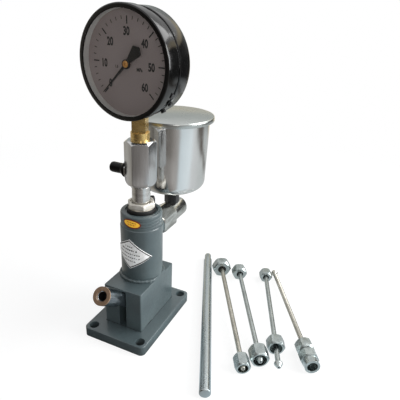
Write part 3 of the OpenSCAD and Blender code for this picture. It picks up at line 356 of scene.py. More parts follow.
# Painted shade: the white dial is coloured a dark warm grey, the tone it shows in shade.
dial_white_painted_shade = finish("dial_white_painted_shade", (0.37, 0.305, 0.29), (0.41, 0.34, 0.325), (0.5, 0.6), level=0.2,
                    patch=25, grain=1500, bump=0.004)
ring_grey = finish("ring_grey", (0.64, 0.63, 0.60), (0.74, 0.73, 0.70), (0.4, 0.5))
sticker_orange = finish("sticker_orange", (0.95, 0.44, 0.02), (1.0, 0.6, 0.05), (0.25, 0.35),
                        patch=150, coat=0.3)
self_lit(sticker_orange, (0.95, 0.5, 0.04), 0.26)
sticker_red = finish("sticker_red", (0.14, 0.014, 0.005), (0.24, 0.03, 0.01), (0.3, 0.4))
print("materials so far:", len(bpy.data.materials))

# %% [markdown]
# ### Bare and plated metals
# Zinc plating is bright and slightly blotched, tin sheet smooth with slow dents, and the loose
# tubes are duller. One grey metal would make them all alike, so each has its own colours,
# gloss and waves, and the noise is stretched along the way the tool ran.

# %% Bare and plated metals
zinc = finish("zinc", (0.5, 0.49, 0.475), (0.7, 0.7, 0.69), (0.14, 0.3), metal=1,
              patch=60, grain=260, bump=0.006, stretch=(1, 1, 5), waves=(6, 0.02))
drawn_zinc = finish("drawn_zinc", (0.52, 0.52, 0.525), (0.62, 0.625, 0.63), (0.16, 0.24), metal=1,
                    patch=200, grain=500, bump=0.005, stretch=(1, 1, 0.06), waves=(14, 0.04))
line_zinc = finish("line_zinc", (0.3, 0.3, 0.275), (0.66, 0.67, 0.65), (0.12, 0.28), metal=1,
                   patch=130, grain=500, bump=0.012, stretch=(1, 0.3, 1), waves=(16, 0.2))
loose_zinc = finish("loose_zinc", (0.30, 0.335, 0.335), (0.46, 0.505, 0.50), (0.22, 0.38),
                    metal=1, patch=110, grain=400, bump=0.006, waves=(5, 0.06))
tube_zinc = finish("tube_zinc", (0.38, 0.365, 0.32), (0.54, 0.525, 0.47), (0.24, 0.38), metal=1,
                   patch=60, grain=400, bump=0.004)
blue_tube = finish("blue_tube", (0.36, 0.39, 0.385), (0.48, 0.52, 0.515), (0.24, 0.38), metal=1,
                   patch=60, grain=400, bump=0.004)
bar_zinc = finish("bar_zinc", (0.41, 0.45, 0.46), (0.45, 0.495, 0.505), (0.26, 0.3), metal=1,
                  patch=30, grain=60, bump=0.001)
pale_zinc = finish("pale_zinc", (0.72, 0.68, 0.6), (0.86, 0.83, 0.77), (0.34, 0.5), metal=0.5,
                   patch=160, grain=400, bump=0.02)
ground_steel = finish("ground_steel", (0.45, 0.46, 0.47), (0.6, 0.61, 0.62), (0.2, 0.35), metal=1)
spring_steel = finish("spring_steel", (0.2, 0.21, 0.22), (0.32, 0.33, 0.35), (0.3, 0.5), metal=1)
black_steel = finish("black_steel", (0.008, 0.008, 0.009), (0.02, 0.02, 0.021), (0.25, 0.4),
                     grain=700, bump=0.02, level=0.3)
copper = finish("copper", (0.5, 0.24, 0.12), (0.65, 0.34, 0.2), (0.3, 0.5), metal=1)
brass = finish("brass", (0.6, 0.4, 0.14), (0.85, 0.62, 0.27), (0.2, 0.36), metal=1,
               patch=90, grain=300, bump=0.01, stretch=(1, 1, 5))
hub_brass = finish("hub_brass", (0.62, 0.27, 0.06), (0.8, 0.4, 0.1), (0.3, 0.4), metal=0.2)
tinned = finish("tinned", (0.60, 0.595, 0.58), (0.72, 0.73, 0.725), (0.1, 0.2), metal=1,
                patch=22, grain=110, bump=0.006, stretch=(1, 1, 0.35), waves=(26, 0.22))
lid_tinned = finish("lid_tinned", (0.44, 0.46, 0.45), (0.48, 0.505, 0.49), (0.26, 0.32), metal=1,
                    patch=25, grain=60, bump=0.001)
plate_silver = finish("plate_silver", (0.75, 0.75, 0.73), (0.98, 0.98, 0.97), (0.3, 0.42),
                      metal=0.1, patch=260, grain=900, bump=0.02)
# Painted light: the name plate glows a little so that it shows brighter.
self_lit(plate_silver, (0.9, 0.9, 0.9), 0.12)
print("materials with the metals:", len(bpy.data.materials))

# %% [markdown]
# ### Clear glass
# The gauge's window is thin flat glass. A shader with full transmission would bend the rays
# and darken the dial behind it. Here nearly all light passes straight on, and the gloss stays.

# %% Clear glass
GLASS_ALPHA = 0.06
clear_glass = bpy.data.materials.new("clear_glass")
clear_glass.use_nodes = True
fill(clear_glass.node_tree.nodes["Principled BSDF"],
     {"Base Color": (0.12, 0.13, 0.13, 1), "Alpha": GLASS_ALPHA, "Roughness": 0.03, "IOR": 1.45})
print("share of light that passes straight on:", 1 - GLASS_ALPHA)

# %% [markdown]
# ## Tools for the pieces
# Nearly every piece here came from a lathe or from hexagon bar. A cylinder would do for some of
# them, but a profile that `spin` carries round an axis makes them all, as the lathe did.


# %% Turn a profile
def turned(profile, steps=96):
    """profile is a list of (radius, height) in millimetres, and its ends are joined.
    An edge that lies on the axis is left out."""
    bm = bmesh.new()
    points = [bm.verts.new((r, 0, z)) for r, z in profile]
    edges = [bm.edges.new(pair) for pair in zip(points, points[1:] + points[:1])
             if pair[0].co.x + pair[1].co.x > 0]
    bmesh.ops.spin(bm, geom=points + edges, cent=(0, 0, 0), axis=(0, 0, 1),
                   angle=2 * math.pi, steps=steps, use_merge=True)
    bmesh.ops.remove_doubles(bm, verts=bm.verts, dist=1e-4)
    bmesh.ops.recalc_face_normals(bm, faces=bm.faces)
    return bm


def moved(bm, matrix):
    bm.transform(matrix)
    if matrix.determinant() < 0:
        bmesh.ops.reverse_faces(bm, faces=bm.faces)
    return bm


def round_bar(radius, low, high, at=(0, 0), steps=64):
    return moved(turned([(0, low), (radius, low), (radius, high), (0, high)], steps),
                 Matrix.Translation((*at, 0)))


trial = round_bar(1, 0, 1)
print("faces of a plain round bar:", len(trial.faces))
trial.free()

# %% [markdown]
# A real tool never leaves a knife edge, and the narrow face in its place is what catches the
# light. The sharp rings could be drawn into each profile; a bevel on all edges past a certain
# angle does it in one step.


# %% Bevel the edges
def bevel(bm, edges, width, segments, clamp=False):
    bmesh.ops.bevel(bm, geom=edges, offset=width, offset_type="OFFSET", segments=segments,
                    profile=0.5, affect="EDGES", material=-1, clamp_overlap=clamp)


def soften(bm, width, sharper_than=28, segments=2):
    """Bevels the sharp outward edges."""
    limit = math.radians(sharper_than)
    bevel(bm, [e for e in bm.edges if len(e.link_faces) == 2
               and e.calc_face_angle_signed(0) > limit], width, segments, clamp=True)
    return bm


trial = soften(round_bar(1, 0, 1), 0.1)
print("with soft rims:", len(trial.faces))
trial.free()

# %% [markdown]
# Shapes are built in millimetres about their own middle. They could be moved as objects, but
# the frame wants every object at the origin, so the place goes into the mesh. The piece then
# rides on its body and stands for its node.


# %% Make a piece of it
SHARP = 32


def piece(name, bm, material, body, node=None, place=Matrix(), sharp=SHARP):
    """Places the shape in the row frame, in metres, and hands it to the frame."""
    made = as_object(name, moved(bm, Matrix.Scale(MM, 4) @ place))
    made.data.shade_smooth()
    made.data.set_sharp_from_angle(angle=math.radians(sharp))
    made.data.materials.append(material)
    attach(made, body)
    if node:
        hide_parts(node)
    return made


print("edges past", SHARP, "degrees stay sharp")

# %% [markdown]
# A hole that is drilled through a block can't be spun. Cutting faces by hand would do, but the
# Boolean modifier is sure: it unites and cuts whole shapes, and its result is read back as a
# new shape.


# %% Unite and cut
def final_shape(made):
    """A copy of the object's shape with modifiers and text worked out."""
    bpy.context.view_layer.update()
    bm = bmesh.new()
    bm.from_mesh(made.evaluated_get(bpy.context.evaluated_depsgraph_get()).to_mesh())
    return bm


def joined(first, joins=(), cuts=()):
    """One clean shape from several: unions first, then what is cut away."""
    base = as_object("base", first)
    helpers = [base]
    for way, shapes in (("UNION", joins), ("DIFFERENCE", cuts)):
        for shape in shapes:
            helpers.append(as_object("tool", shape))
            step = base.modifiers.new(way, "BOOLEAN")
            step.operation, step.solver, step.object = way, "EXACT", helpers[-1]
    result = final_shape(base)
    for helper in helpers:
        bpy.data.objects.remove(helper)
    bmesh.ops.remove_doubles(result, verts=result.verts, dist=1e-4)
    return result


trial = joined(round_bar(2, 0, 1), cuts=[round_bar(1, -1, 2)])
print("faces of a drilled bar:", len(trial.faces))
trial.free()

# %% [markdown]
# ## Hidden pieces
# Tappet, plunger, springs, valve and gauge movement are inside and never seen from a step
# away. They could be modelled again too, but their CAD shapes are right, so these stay and
# only get their finish.

# %% Finish the hidden pieces
HIDDEN = {ground_steel: ["pivot_pin", "tappet", "plunger", "pump_barrel", "delivery_seat",
                         "delivery_valve"],
          spring_steel: ["plunger_spring", "delivery_spring"],
          copper: ["gauge_washer"],
          tinned: ["cup_strainer"],
          brass: ["bourdon_tube", "movement_frame", "pinion_shaft", "sector_gear", "link_rod"]}
for material, names in HIDDEN.items():
    for name in names:
        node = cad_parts[name]
        if not node.material_slots:
            node.data.materials.append(material)
        for slot in node.material_slots:
            slot.material = material
print("hidden pieces finished:", sum(len(names) for names in HIDDEN.values()))

# %% [markdown]
# ## Base plate
# The plate is an iron casting with milled sides, round corners and four bolt holes. A cube is
# enough to start from: its upright edges are bevelled wide for the corners and its top rim a
# little, and four round bars are cut out of it.

# %% Model the base plate
BASE_W, BASE_L, BASE_T, CORNER_R = 82, 119.5, 12, 6
BOLT_X, BOLT_Y, BOLT_R = 32, 51, 5.75


def block(size, centre):
    bm = bmesh.new()
    bmesh.ops.create_cube(bm, size=1)
    bmesh.ops.scale(bm, vec=size, verts=bm.verts)
    bmesh.ops.translate(bm, vec=centre, verts=bm.verts)
    return bm


def upright_edges(bm):
    return [e for e in bm.edges if abs((e.verts[0].co - e.verts[1].co).normalized().z) > 0.99]


plate = block((BASE_W, BASE_L, BASE_T), (0, 0, BASE_T / 2))
bevel(plate, upright_edges(plate), CORNER_R, 12)
soften(plate, 0.7, 60, 3)
plate = joined(plate, cuts=[round_bar(BOLT_R, -1, BASE_T + 1, (x, y))
                            for x in (-BOLT_X, BOLT_X) for y in (-BOLT_Y, BOLT_Y)])
plate_piece = piece("base_casting", plate, body_paint, "tester", "base_plate")
print("base plate faces:", len(plate_piece.data.polygons))

# %% [markdown]
# ## Pump body
# The body is one casting too: a square block, a round column with a ring at its foot and a
# turned band at its top, and a boss at the back for the oil line. Carving it from one cube
# would be slow, so each form is made by itself, the block bevelled and the round ones turned.

# %% Model the forms of the body
BODY_W, BODY_L, BLOCK_TOP, COLUMN_Y, COLUMN_TOP, BAND_Z = 50, 78, 64.7, 7.8, 150, 132.9
COLUMN_R, BAND_R, FOOT_R, BOSS_R, BOSS_END, FEED_Z = 25, 24.4, 27.5, 14.5, 38, 117
GROOVES, GROOVE_R, ROUND_STEPS = (137.0, 140.9, 144.8), 23.8, 128
at_column = Matrix.Translation((0, COLUMN_Y, 0))


def along_y(z, start=0.0):
    """Local +Z runs back along +Y."""
    return Matrix.Translation((0, start, z)) @ Matrix.Rotation(math.radians(-90), 4, "X")


casting = block((BODY_W, BODY_L, BLOCK_TOP - BASE_T), (0, 2, (BLOCK_TOP + BASE_T) / 2))
bevel(casting, upright_edges(casting), 1.6, 4)
for height, width in ((BLOCK_TOP, 0.8), (BASE_T, 0.5)):
    rim = [e for e in casting.edges if all(abs(v.co.z - height) < 0.1 for v in e.verts)
           and e.calc_face_angle(0) > 1]
    bevel(casting, rim, width, 3)
turned_rings = [(r, z + dz) for z in GROOVES
                for dz, r in ((-0.9, BAND_R), (-0.5, GROOVE_R), (0.1, GROOVE_R), (0.7, BAND_R))]
column = turned([(0, BLOCK_TOP - 3), (COLUMN_R, BLOCK_TOP - 3), (COLUMN_R, BAND_Z - 1.1),
                 (24.7, BAND_Z - 0.7), (24.2, BAND_Z - 0.1), (24.2, BAND_Z + 0.6),
                 (BAND_R, BAND_Z + 0.9), *turned_rings, (BAND_R, COLUMN_TOP - 2.5),
                 (24.15, COLUMN_TOP - 1.4), (23.3, COLUMN_TOP - 0.4), (22, COLUMN_TOP),
                 (0, COLUMN_TOP)], ROUND_STEPS)
foot = moved(turned([(0, BLOCK_TOP - 2), (FOOT_R, BLOCK_TOP - 2), (FOOT_R, BLOCK_TOP + 1.2),
                     (26.6, BLOCK_TOP + 2.2), (0, BLOCK_TOP + 2.2)], ROUND_STEPS), at_column)
foot = joined(foot, cuts=[block((10, 80, 20), (side * (BODY_W / 2 + 5), COLUMN_Y, BLOCK_TOP))
                          for side in (-1, 1)])
boss = moved(round_bar(BOSS_R, 0, BOSS_END - COLUMN_Y, steps=96), along_y(FEED_Z, COLUMN_Y))
print("grooves in the band:", len(GROOVES))

# %% [markdown]
# The real casting was milled and drilled afterwards. Cutting each form by itself could leave a
# step where two meet, so they are united first, and the lever's slot, the bores and the hole
# of the pivot's plug are cut from the union.

# %% Unite and cut the body
SLOT_W, SLOT_TOP, SLOT_FRONT, SLOT_BACK = 9.4, 62, -38, 20
PLUG_HOLE = Matrix.Translation((-26, -17, 36)) @ Matrix.Rotation(math.radians(90), 4, "Y")
slot_cut = block((SLOT_W, SLOT_BACK - SLOT_FRONT, SLOT_TOP - BASE_T + 1),
                 (0, (SLOT_BACK + SLOT_FRONT) / 2, (SLOT_TOP + BASE_T - 1) / 2))
bores = [moved(round_bar(19, COLUMN_TOP - 1.5, COLUMN_TOP + 1), at_column),
         moved(round_bar(15, 100, COLUMN_TOP), at_column),
         moved(round_bar(10, 33, 100), at_column),
         moved(round_bar(8, 26, 40), along_y(FEED_Z)),
         moved(turned([(0, 0), (6.5, 0), (6.5, 8), (5, 8), (5, 43), (0, 43)], 48), PLUG_HOLE)]
casting = joined(casting, [moved(column, at_column), foot, boss], [slot_cut] + bores)
casting_piece = piece("pump_casting", casting, body_paint, "tester", "pump_body",
                      sharp=25)
print("pump casting faces:", len(casting_piece.data.polygons))

# %% [markdown]
# ### Weld
# The column was welded to the block by hand. A plain ring would look machined, so the bead is
# a turned ring pushed about by noise, with lumps as wide as the bead on its right side.


# %% Lay the weld bead
def wander(bm, size, amount):
    """Pushes each point along its normal by smooth noise; size and amount in millimetres."""
    bm.normal_update()
    shifts = [(v, v.normal * noise.noise(v.co / size) * amount) for v in bm.verts]
    for v, shift in shifts:
        v.co += shift
    return bm


def together(*parts):
    """Several closed shapes in one mesh."""
    whole = bmesh.new()
    for part in parts:
        mesh = bpy.data.meshes.new("part")
        part.to_mesh(mesh)
        whole.from_mesh(mesh)
        part.free()
        bpy.data.meshes.remove(mesh)
    return whole


BEAD_X = BODY_W / 2 - 0.1
bead = turned([(24.2, BLOCK_TOP), (27.4, BLOCK_TOP), (27.9, BLOCK_TOP + 0.9),
               (27.7, BLOCK_TOP + 2.0), (26.9, BLOCK_TOP + 2.9), (25.9, BLOCK_TOP + 3.2),
               (25.0, BLOCK_TOP + 3.1), (24.2, BLOCK_TOP + 2.6)], 180)
wander(moved(bead, at_column), 2.6, 0.8)
for v in bead.verts:
    v.co.x = max(-BEAD_X, min(BEAD_X, v.co.x))
piece("weld_bead", bead, body_paint, "tester", sharp=80)
lumps = []
for x, y, r, tall in ((23.0, 2.5, 2.6, 3.2), (23.4, 7.5, 2.2, 4.2), (23.2, 13.0, 2.4, 3.4),
                      (22.6, 18.2, 2.3, 2.4), (20.6, -8.4, 2.4, 2.2)):
    lump = bmesh.new()
    bmesh.ops.create_icosphere(lump, subdivisions=3, radius=1)
    bmesh.ops.scale(lump, vec=(min(r, 24.6 - x), r, tall), verts=lump.verts)
    bmesh.ops.translate(lump, vec=(x, y, BLOCK_TOP), verts=lump.verts)
    lumps.append(wander(lump, 1.8, 0.6))
piece("weld_lumps", together(*lumps), body_paint, "tester", sharp=80)
print("weld lumps:", len(lumps))

# %% [markdown]
# ### Gap under the block
# Block and plate don't quite meet, and the gap's shade shows as a thin black line that wanders.
# A groove in the casting would be hidden work; a thin black strip laid round the block's foot
# paints that shade instead. One wire is divided, drawn up into a strip, and its upper edge
# moved by noise.

# %% Darken the gap under the block
# Painted shade: a thin black strip stands for the shade in the gap under the block.
SEAM_X, SEAM_FRONT, SEAM_BACK = BODY_W / 2 + 0.06, -37.06, 41.06
gap = bmesh.new()
corners = [gap.verts.new((x, y, BASE_T - 0.05)) for x, y in (
    (-SEAM_X, SEAM_FRONT), (SEAM_X, SEAM_FRONT), (SEAM_X, SEAM_BACK), (-SEAM_X, SEAM_BACK))]
wire = [gap.edges.new(pair) for pair in zip(corners, corners[1:] + corners[:1])]
bmesh.ops.subdivide_edges(gap, edges=wire, cuts=39)
drawn_up = bmesh.ops.extrude_edge_only(gap, edges=gap.edges[:])
for v in drawn_up["geom"]:
    if isinstance(v, bmesh.types.BMVert):
        v.co.z = BASE_T + 0.35 + 0.35 * noise.noise(Vector((v.co.x, v.co.y, 3.0)) / 5)
        if v.co.x > 20 and -22 < v.co.y < -12:
            v.co.z += 0.9
bmesh.ops.recalc_face_normals(gap, faces=gap.faces)
gap_shade_strip = piece("painted_gap_shade", gap, painted_shade_black, "tester")
print("faces of the gap:", len(gap_shade_strip.data.polygons))

# %% [markdown]
# ## Lever
# The lever's blade is hidden in the slot; its round boss comes out of it, with the socket for
# the handle bar. The CAD shape is right, so a merged copy of it is kept, and only the worn,
# rusty mouth of the socket is opened with a cone. A thin black film in the bore is painted
# shade for its dark inside.


# %% Copy a CAD shape
def node_copy(node):
    """A CAD node's mesh in millimetres, merged to one skin."""
    bm = bmesh.new()
    bm.from_mesh(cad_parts[node].data)
    bmesh.ops.remove_doubles(bm, verts=bm.verts, dist=2e-6)
    bmesh.ops.dissolve_limit(bm, angle_limit=math.radians(0.5), verts=bm.verts, edges=bm.edges)
    return moved(bm, Matrix.Scale(1 / MM, 4))


def fine_edge(made, width):
    edge = made.modifiers.new("edge", "BEVEL")
    edge.width, edge.segments, edge.limit_method = width * MM, 2, "ANGLE"
    edge.angle_limit = math.radians(35)


def finished_copy(node, material, body, edge=0.0):
    """The merged copy with smooth shading and bevelled edges."""
    made = piece(node + "_skin", node_copy(node), material, body, node)
    if edge:
        fine_edge(made, edge)


trial = node_copy("lever")
print("lever faces:", len(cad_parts["lever"].data.polygons), "merged to", len(trial.faces))
trial.free()

# %% [markdown]
# The lever is painted silver, and rust has eaten the paint round its mouth. A second material
# would end in a line; mixing the rust in by the distance along the socket, broken up by noise,
# lets it fade.

# %% Paint and rust
SOCKET_RISE, RUST_FROM, RUST_WIDTH = 38.2, 107, 0.6
lever_way = (0, -math.cos(math.radians(SOCKET_RISE)), math.sin(math.radians(SOCKET_RISE)))
lever_paint = finish("lever_paint", (0.30, 0.33, 0.36), (0.46, 0.51, 0.55), (0.1, 0.22),
                     metal=1, patch=45, grain=300, bump=0.02, waves=(5, 0.12))
net = lever_paint.node_tree
shader, tint = net.nodes["Principled BSDF"], net.nodes["tint"]
coords = add_node(net, "TexCoord").outputs["Object"]
reach = add_node(net, "VectorMath", {1: lever_way}, {0: coords}, operation="DOT_PRODUCT")
edge = add_node(net, "MapRange", {"From Min": RUST_FROM * MM, "To Max": 3.52,
                                  "From Max": (RUST_FROM + RUST_WIDTH) * MM},
                {"Value": reach.outputs["Value"]})
spots = add_node(net, "TexNoise", {"Scale": 300}, {"Vector": coords})
share = add_node(net, "Math", links={0: edge, 1: spots}, operation="MULTIPLY", use_clamp=True)
rust = add_node(net, "Mix", {"B": (0.30, 0.19, 0.12, 1)},
                {"Factor": share, "A": tint.outputs["Result"]}, data_type="RGBA")
metal_left = add_node(net, "Math", {0: 1}, {1: share}, operation="SUBTRACT", use_clamp=True)
net.links.new(rust.outputs["Result"], shader.inputs["Base Color"])
net.links.new(metal_left.outputs[0], shader.inputs["Metallic"])
print("rust starts", RUST_FROM, "mm along the lever")

# %% [markdown]
# The cone and the film are both turned about the socket's own axis and then laid on it, which
# is easier than working out their points on the slope. The plug that closes the pivot's hole
# needs nothing but its finish.

# %% Finish the lever
MOUTH, BORE_R = (0, -74.603, 81.329), 5.05
mouth = Matrix.Translation(MOUTH) @ Matrix.Rotation(math.radians(90 - SOCKET_RISE), 4, "X")
cone = turned([(0, -2.2), (BORE_R, -2.2), (6.5, 0), (7.1, 1), (0, 1)], 64)
lever_skin = piece("lever_skin", joined(node_copy("lever"), cuts=[moved(cone, mouth)]),
                   lever_paint, "lever", "lever")
fine_edge(lever_skin, 0.4)
# Painted shade: a thin black lining darkens the inside of the socket's bore.
bore_shade = turned([(0, -15.95), (BORE_R - 0.03, -15.95), (BORE_R - 0.03, -3.5),
               (BORE_R - 0.13, -3.5), (BORE_R - 0.13, -15.8), (0, -15.8)], 64)
piece("socket_painted_shade", bore_shade, painted_shade_black, "lever", place=mouth)
finished_copy("pivot_plug", zinc, "tester", 0.3)
print("lever faces:", len(lever_skin.data.polygons))

# %% [markdown]
# ## Washer, clamp nut and stem
# Between the column and the hexagon head sit a black packing washer, a pale clamp nut whose
# corners are turned off at both ends, and the smooth round stem with a small collar on top.
# A six-sided prism has no such corners, so a hexagon is turned round first and milled flat.


# %% Mill flats
def flats(bm, width, turn=0.0):
    """Cuts away what lies outside each of six planes and closes the cut."""
    for k in range(6):
        a = math.radians(turn + 60 * k)
        out = Vector((math.cos(a), math.sin(a), 0))
        cut = bmesh.ops.bisect_plane(bm, geom=bm.verts[:] + bm.edges[:] + bm.faces[:],
                                     dist=1e-5, plane_co=out * width / 2, plane_no=out,
                                     clear_outer=True)
        rim = [e for e in cut["geom_cut"] if isinstance(e, bmesh.types.BMEdge)]
        bmesh.ops.contextual_create(bm, geom=rim)
    bmesh.ops.recalc_face_normals(bm, faces=bm.faces)
    return bm


trial = flats(round_bar(1, 0, 1), 1.5)
print("faces of a milled bar:", len(trial.faces))
trial.free()

# %% [markdown]
# The clamp nut is one piece with the thread below it. The two overlap nowhere, so they can
# share a mesh without a Boolean.

# %% Model the clamp
WASHER_Z, CLAMP_Z, CLAMP_TOP, HEAD_Z = 148.5, 153.5, 161, 181.5
CLAMP_AF, CLAMP_R, STEM_R, STEM_FOOT_R = 28.6, 16.52, 10.6, 12.6
washer = turned([(15.2, WASHER_Z), (16.9, WASHER_Z), (16.9, CLAMP_Z), (15.2, CLAMP_Z)], 128)
piece("packing_washer", soften(washer, 0.5), black_rubber, "tester", "column_washer",
      at_column)
thread = turned([(12.7, 140), (14.9, 140), (14.9, CLAMP_Z), (12.7, CLAMP_Z)], 96)
hexagon = flats(turned([(10.9, CLAMP_Z), (13.9, CLAMP_Z), (CLAMP_R, CLAMP_Z + 1.5),
                        (CLAMP_R, CLAMP_TOP - 1.4), (13.7, CLAMP_TOP), (12.5, CLAMP_TOP),
                        (12.5, CLAMP_TOP - 1.5), (10.9, CLAMP_TOP - 1.5)], 120), CLAMP_AF, 41)
soften(hexagon, 0.4, 30)
piece("clamp_ring_nut", together(thread, hexagon), pale_zinc, "tester", "clamp_nut",
      at_column)
stem = turned([(2, 138.2), (STEM_FOOT_R, 138.2), (STEM_FOOT_R, 145.8), (STEM_R, 145.8),
               (STEM_R, HEAD_Z - 3.6), (11.3, HEAD_Z - 3.1), (11.3, HEAD_Z - 1.5),
               (10.7, HEAD_Z - 1), (10.7, HEAD_Z), (8, HEAD_Z), (8, HEAD_Z + 5),
               (2, HEAD_Z + 5)], 96)
piece("round_stem", soften(stem, 0.2), zinc, "tester", "head_stem", at_column)
print("clamp nut:", CLAMP_AF, "mm over its flats")

# %% [markdown]
# ## Hexagon head
# Hexagon bar was turned to a rounded foot and a chamfered crown, which leaves the curved edges
# on each flat. So here too the piece is turned first, and the six flats are milled after.

# %% Model the head
HEAD_TOP, HEAD_AF, HEAD_FOOT_R, HEAD_CURVE = 233.3, 31.2, 12.5, 7.5
CORNER = HEAD_AF / math.sqrt(3) + 0.01
foot_curve = [(HEAD_FOOT_R + (CORNER - HEAD_FOOT_R) * math.sin(math.radians(a)),
               HEAD_Z + HEAD_CURVE * (1 - math.cos(math.radians(a)))) for a in range(0, 91, 6)]
head = turned([(2, HEAD_Z), *foot_curve, (CORNER, HEAD_TOP - 3.2), (14.2, HEAD_TOP),
               (10, HEAD_TOP), (10, HEAD_TOP - 12), (2, HEAD_TOP - 12)], 120)
soften(flats(head, HEAD_AF), 0.3, 30)
head_piece = piece("hexagon_head", head, drawn_zinc, "tester", "pressure_head", at_column)
print("head faces:", len(head_piece.data.polygons))

# %% [markdown]
# ## Outlet, dust cap and bleed screw
# Pressure leaves the head on its left through a union thread. A soft black cap with a flared
# mouth keeps dirt out of it; it has one wall, so its profile runs up outside and back inside.
# The union and the small bleed screw are right in the CAD, so both are finished copies.

# %% Model the outlet, cap and bleed screw
CAP_START, OUTLET_Z = 18.05, 195.5
outlet_place = (Matrix.Translation((0, COLUMN_Y, OUTLET_Z))
                @ Matrix.Rotation(math.radians(-90), 4, "Y"))
finished_copy("outlet_union", zinc, "tester", 0.1)
cap = turned([(5.35, 0), (8.6, 0), (9, 0.5), (9, 2.0), (8.2, 3.1), (7.1, 4.6), (6.4, 5.8),
              (6.1, 7), (6.1, 18.4), (5.6, 20.2), (4.2, 21.3), (0, 21.5), (0, 19.5),
              (5.35, 19.5)], 96)
piece("dust_cap_skin", cap, black_plastic, "dust_cap", "dust_cap",
      outlet_place @ Matrix.Translation((0, 0, CAP_START)), sharp=50)
finished_copy("bleed_screw", black_steel, "bleed_screw", 0.25)
print("the cap starts", CAP_START, "mm from the column's axis")

# %% [markdown]
# ## Gauge
# The gauge is turned a few degrees to the left. Working each point out in the row frame would
# be hard to read, so everything on it is placed from the middle of its bezel's front. Local +Z
# comes out of the dial towards the reader, X runs to the right and Y up, as text lies.

# %% Gauge place
GAUGE_Z, GAUGE_FRONT, GAUGE_TURN = 313, 27.5, -5.2
gauge = (Matrix.Translation((0, COLUMN_Y, GAUGE_Z))
         @ Matrix.Rotation(math.radians(GAUGE_TURN), 4, "Z")
         @ Matrix.Translation((0, -GAUGE_FRONT, 0)) @ Matrix.Rotation(math.radians(90), 4, "X"))


def at_depth(depth):
    return gauge @ Matrix.Translation((0, 0, -depth))


print("middle of the bezel's front:", tuple(round(v, 2) for v in gauge.translation))

# %% [markdown]
# ### Stem, case and bezel
# The brass stem's collar and square show below the case; its CAD shape is right. The case is
# drawn from sheet: a drum with a raised band at the back. The bezel is a second ring that slips
# over its front. A solid disc would do from the front, but the back is seen too, so both have
# their real wall. They are enamelled black.

# %% Model stem, case and bezel
finished_copy("gauge_stem", brass, "tester", 0.4)
CASE_R, BAND_OUT_R, CASE_BACK, BEZEL_R, GAUGE_STEPS = 52, 53, 40, 54.3, 160
case = turned([(50.5, -4.2), (CASE_R, -4.2), (CASE_R, -21.5), (52.4, -21.5),
               (BAND_OUT_R, -22.2), (BAND_OUT_R, 2 - CASE_BACK), (52.4, 0.6 - CASE_BACK),
               (51, -CASE_BACK), (0, -CASE_BACK), (0, -38.5), (50.5, -38.5)], GAUGE_STEPS)
case = joined(case, cuts=[moved(round_bar(6.6, 258, 270), gauge.inverted() @ at_column)])
piece("gauge_drum", case, enamel, "tester", "gauge_case", gauge, sharp=30)
bezel = turned([(49.6, 0.0), (52.8, 0.0), (53.6, -0.3), (54.1, -0.8), (BEZEL_R, -1.6),
                (BEZEL_R, -10.7), (54.0, -11), (52.05, -11), (52.05, -4.2), (51, -4.2),
                (51, -1.5), (49.6, -1.5)], GAUGE_STEPS)
piece("bezel", bezel, enamel, "tester", "bezel_ring", gauge, sharp=30)
finished_copy("case_screws", black_steel, "tester", 0.3)
print("bezel:", 2 * BEZEL_R, "mm over its front")

# %% [markdown]
# ### Glass and dial
# A flat glass lies in a pale ring, and the dial behind it has a raised rim. The glass could be
# one face, but a pane with two sides bends and mirrors the light as the real one does.

# %% Model glass and dial
DIAL_DEPTH = 9.5
glass = turned([(0, -1.5), (49.6, -1.5), (49.6, -4), (0, -4)], 128)
piece("window", glass, clear_glass, "tester", "gauge_glass", gauge)
seat = turned([(49.65, -1.52), (50.45, -1.52), (50.45, -8.85), (49.65, -8.85)], 128)
piece("glass_seat", seat, ring_grey, "tester", place=gauge)
dial = turned([(2, -DIAL_DEPTH), (46.5, -DIAL_DEPTH), (48.2, -8.9), (50.4, -8.9), (50.4, -10.5),
               (2, -10.5)], 128)
piece("dial", dial, dial_white_painted_shade, "tester", "dial_plate", gauge)
print("the dial lies", DIAL_DEPTH, "mm behind the bezel's front")

# %% [markdown]
# ### Scale
# The scale runs from 0 to 60 over three quarters of a circle. Marks could be painted with a
# material, but as thin solids they stay sharp at any size.

# %% Print the scale
INK = 0.06
START, SWEEP, TOP_VALUE = 225, 270, 60
on_dial = at_depth(DIAL_DEPTH - INK / 2)


def scale_angle(value):
    return math.radians(START - SWEEP * value / TOP_VALUE)


def mark(angle, inner, outer, width):
    bar = block((outer - inner, width, INK), ((inner + outer) / 2, 0, 0))
    return moved(bar, Matrix.Rotation(angle, 4, "Z"))


marks = []
for value in range(0, TOP_VALUE + 1, 2):
    inner, outer, width = (36, 43, 1.25) if value % 10 == 0 else (40.2, 43.4, 0.75)
    marks.append(mark(scale_angle(value), inner, outer, width))
piece("scale_marks", together(*marks), print_black, "tester",
      place=on_dial)
print("marks on the dial:", len(marks))

# %% [markdown]
# ### Numbers
# The numbers are upright, tall and narrow, and stand a little off their marks. Drawing them
# with curves would take long. Blender's own font, squeezed and made bolder, comes close, and
# is turned into a mesh at once.


# %% Print the numbers
def words(name, text, size, at, narrow, weight):
    curve = bpy.data.curves.new(name, "FONT")
    curve.body, curve.size, curve.extrude, curve.offset = text, size, INK / 2, weight
    curve.align_x, curve.align_y = "CENTER", "CENTER"
    curve.resolution_u = 4
    written = bpy.data.objects.new(name, curve)
    scene.collection.objects.link(written)
    bm = final_shape(written)
    bpy.data.objects.remove(written)
    bmesh.ops.remove_doubles(bm, verts=bm.verts, dist=1e-5)
    return moved(bm, Matrix.Translation((*at, 0)) @ Matrix.Diagonal((narrow, 1, 1, 1)))


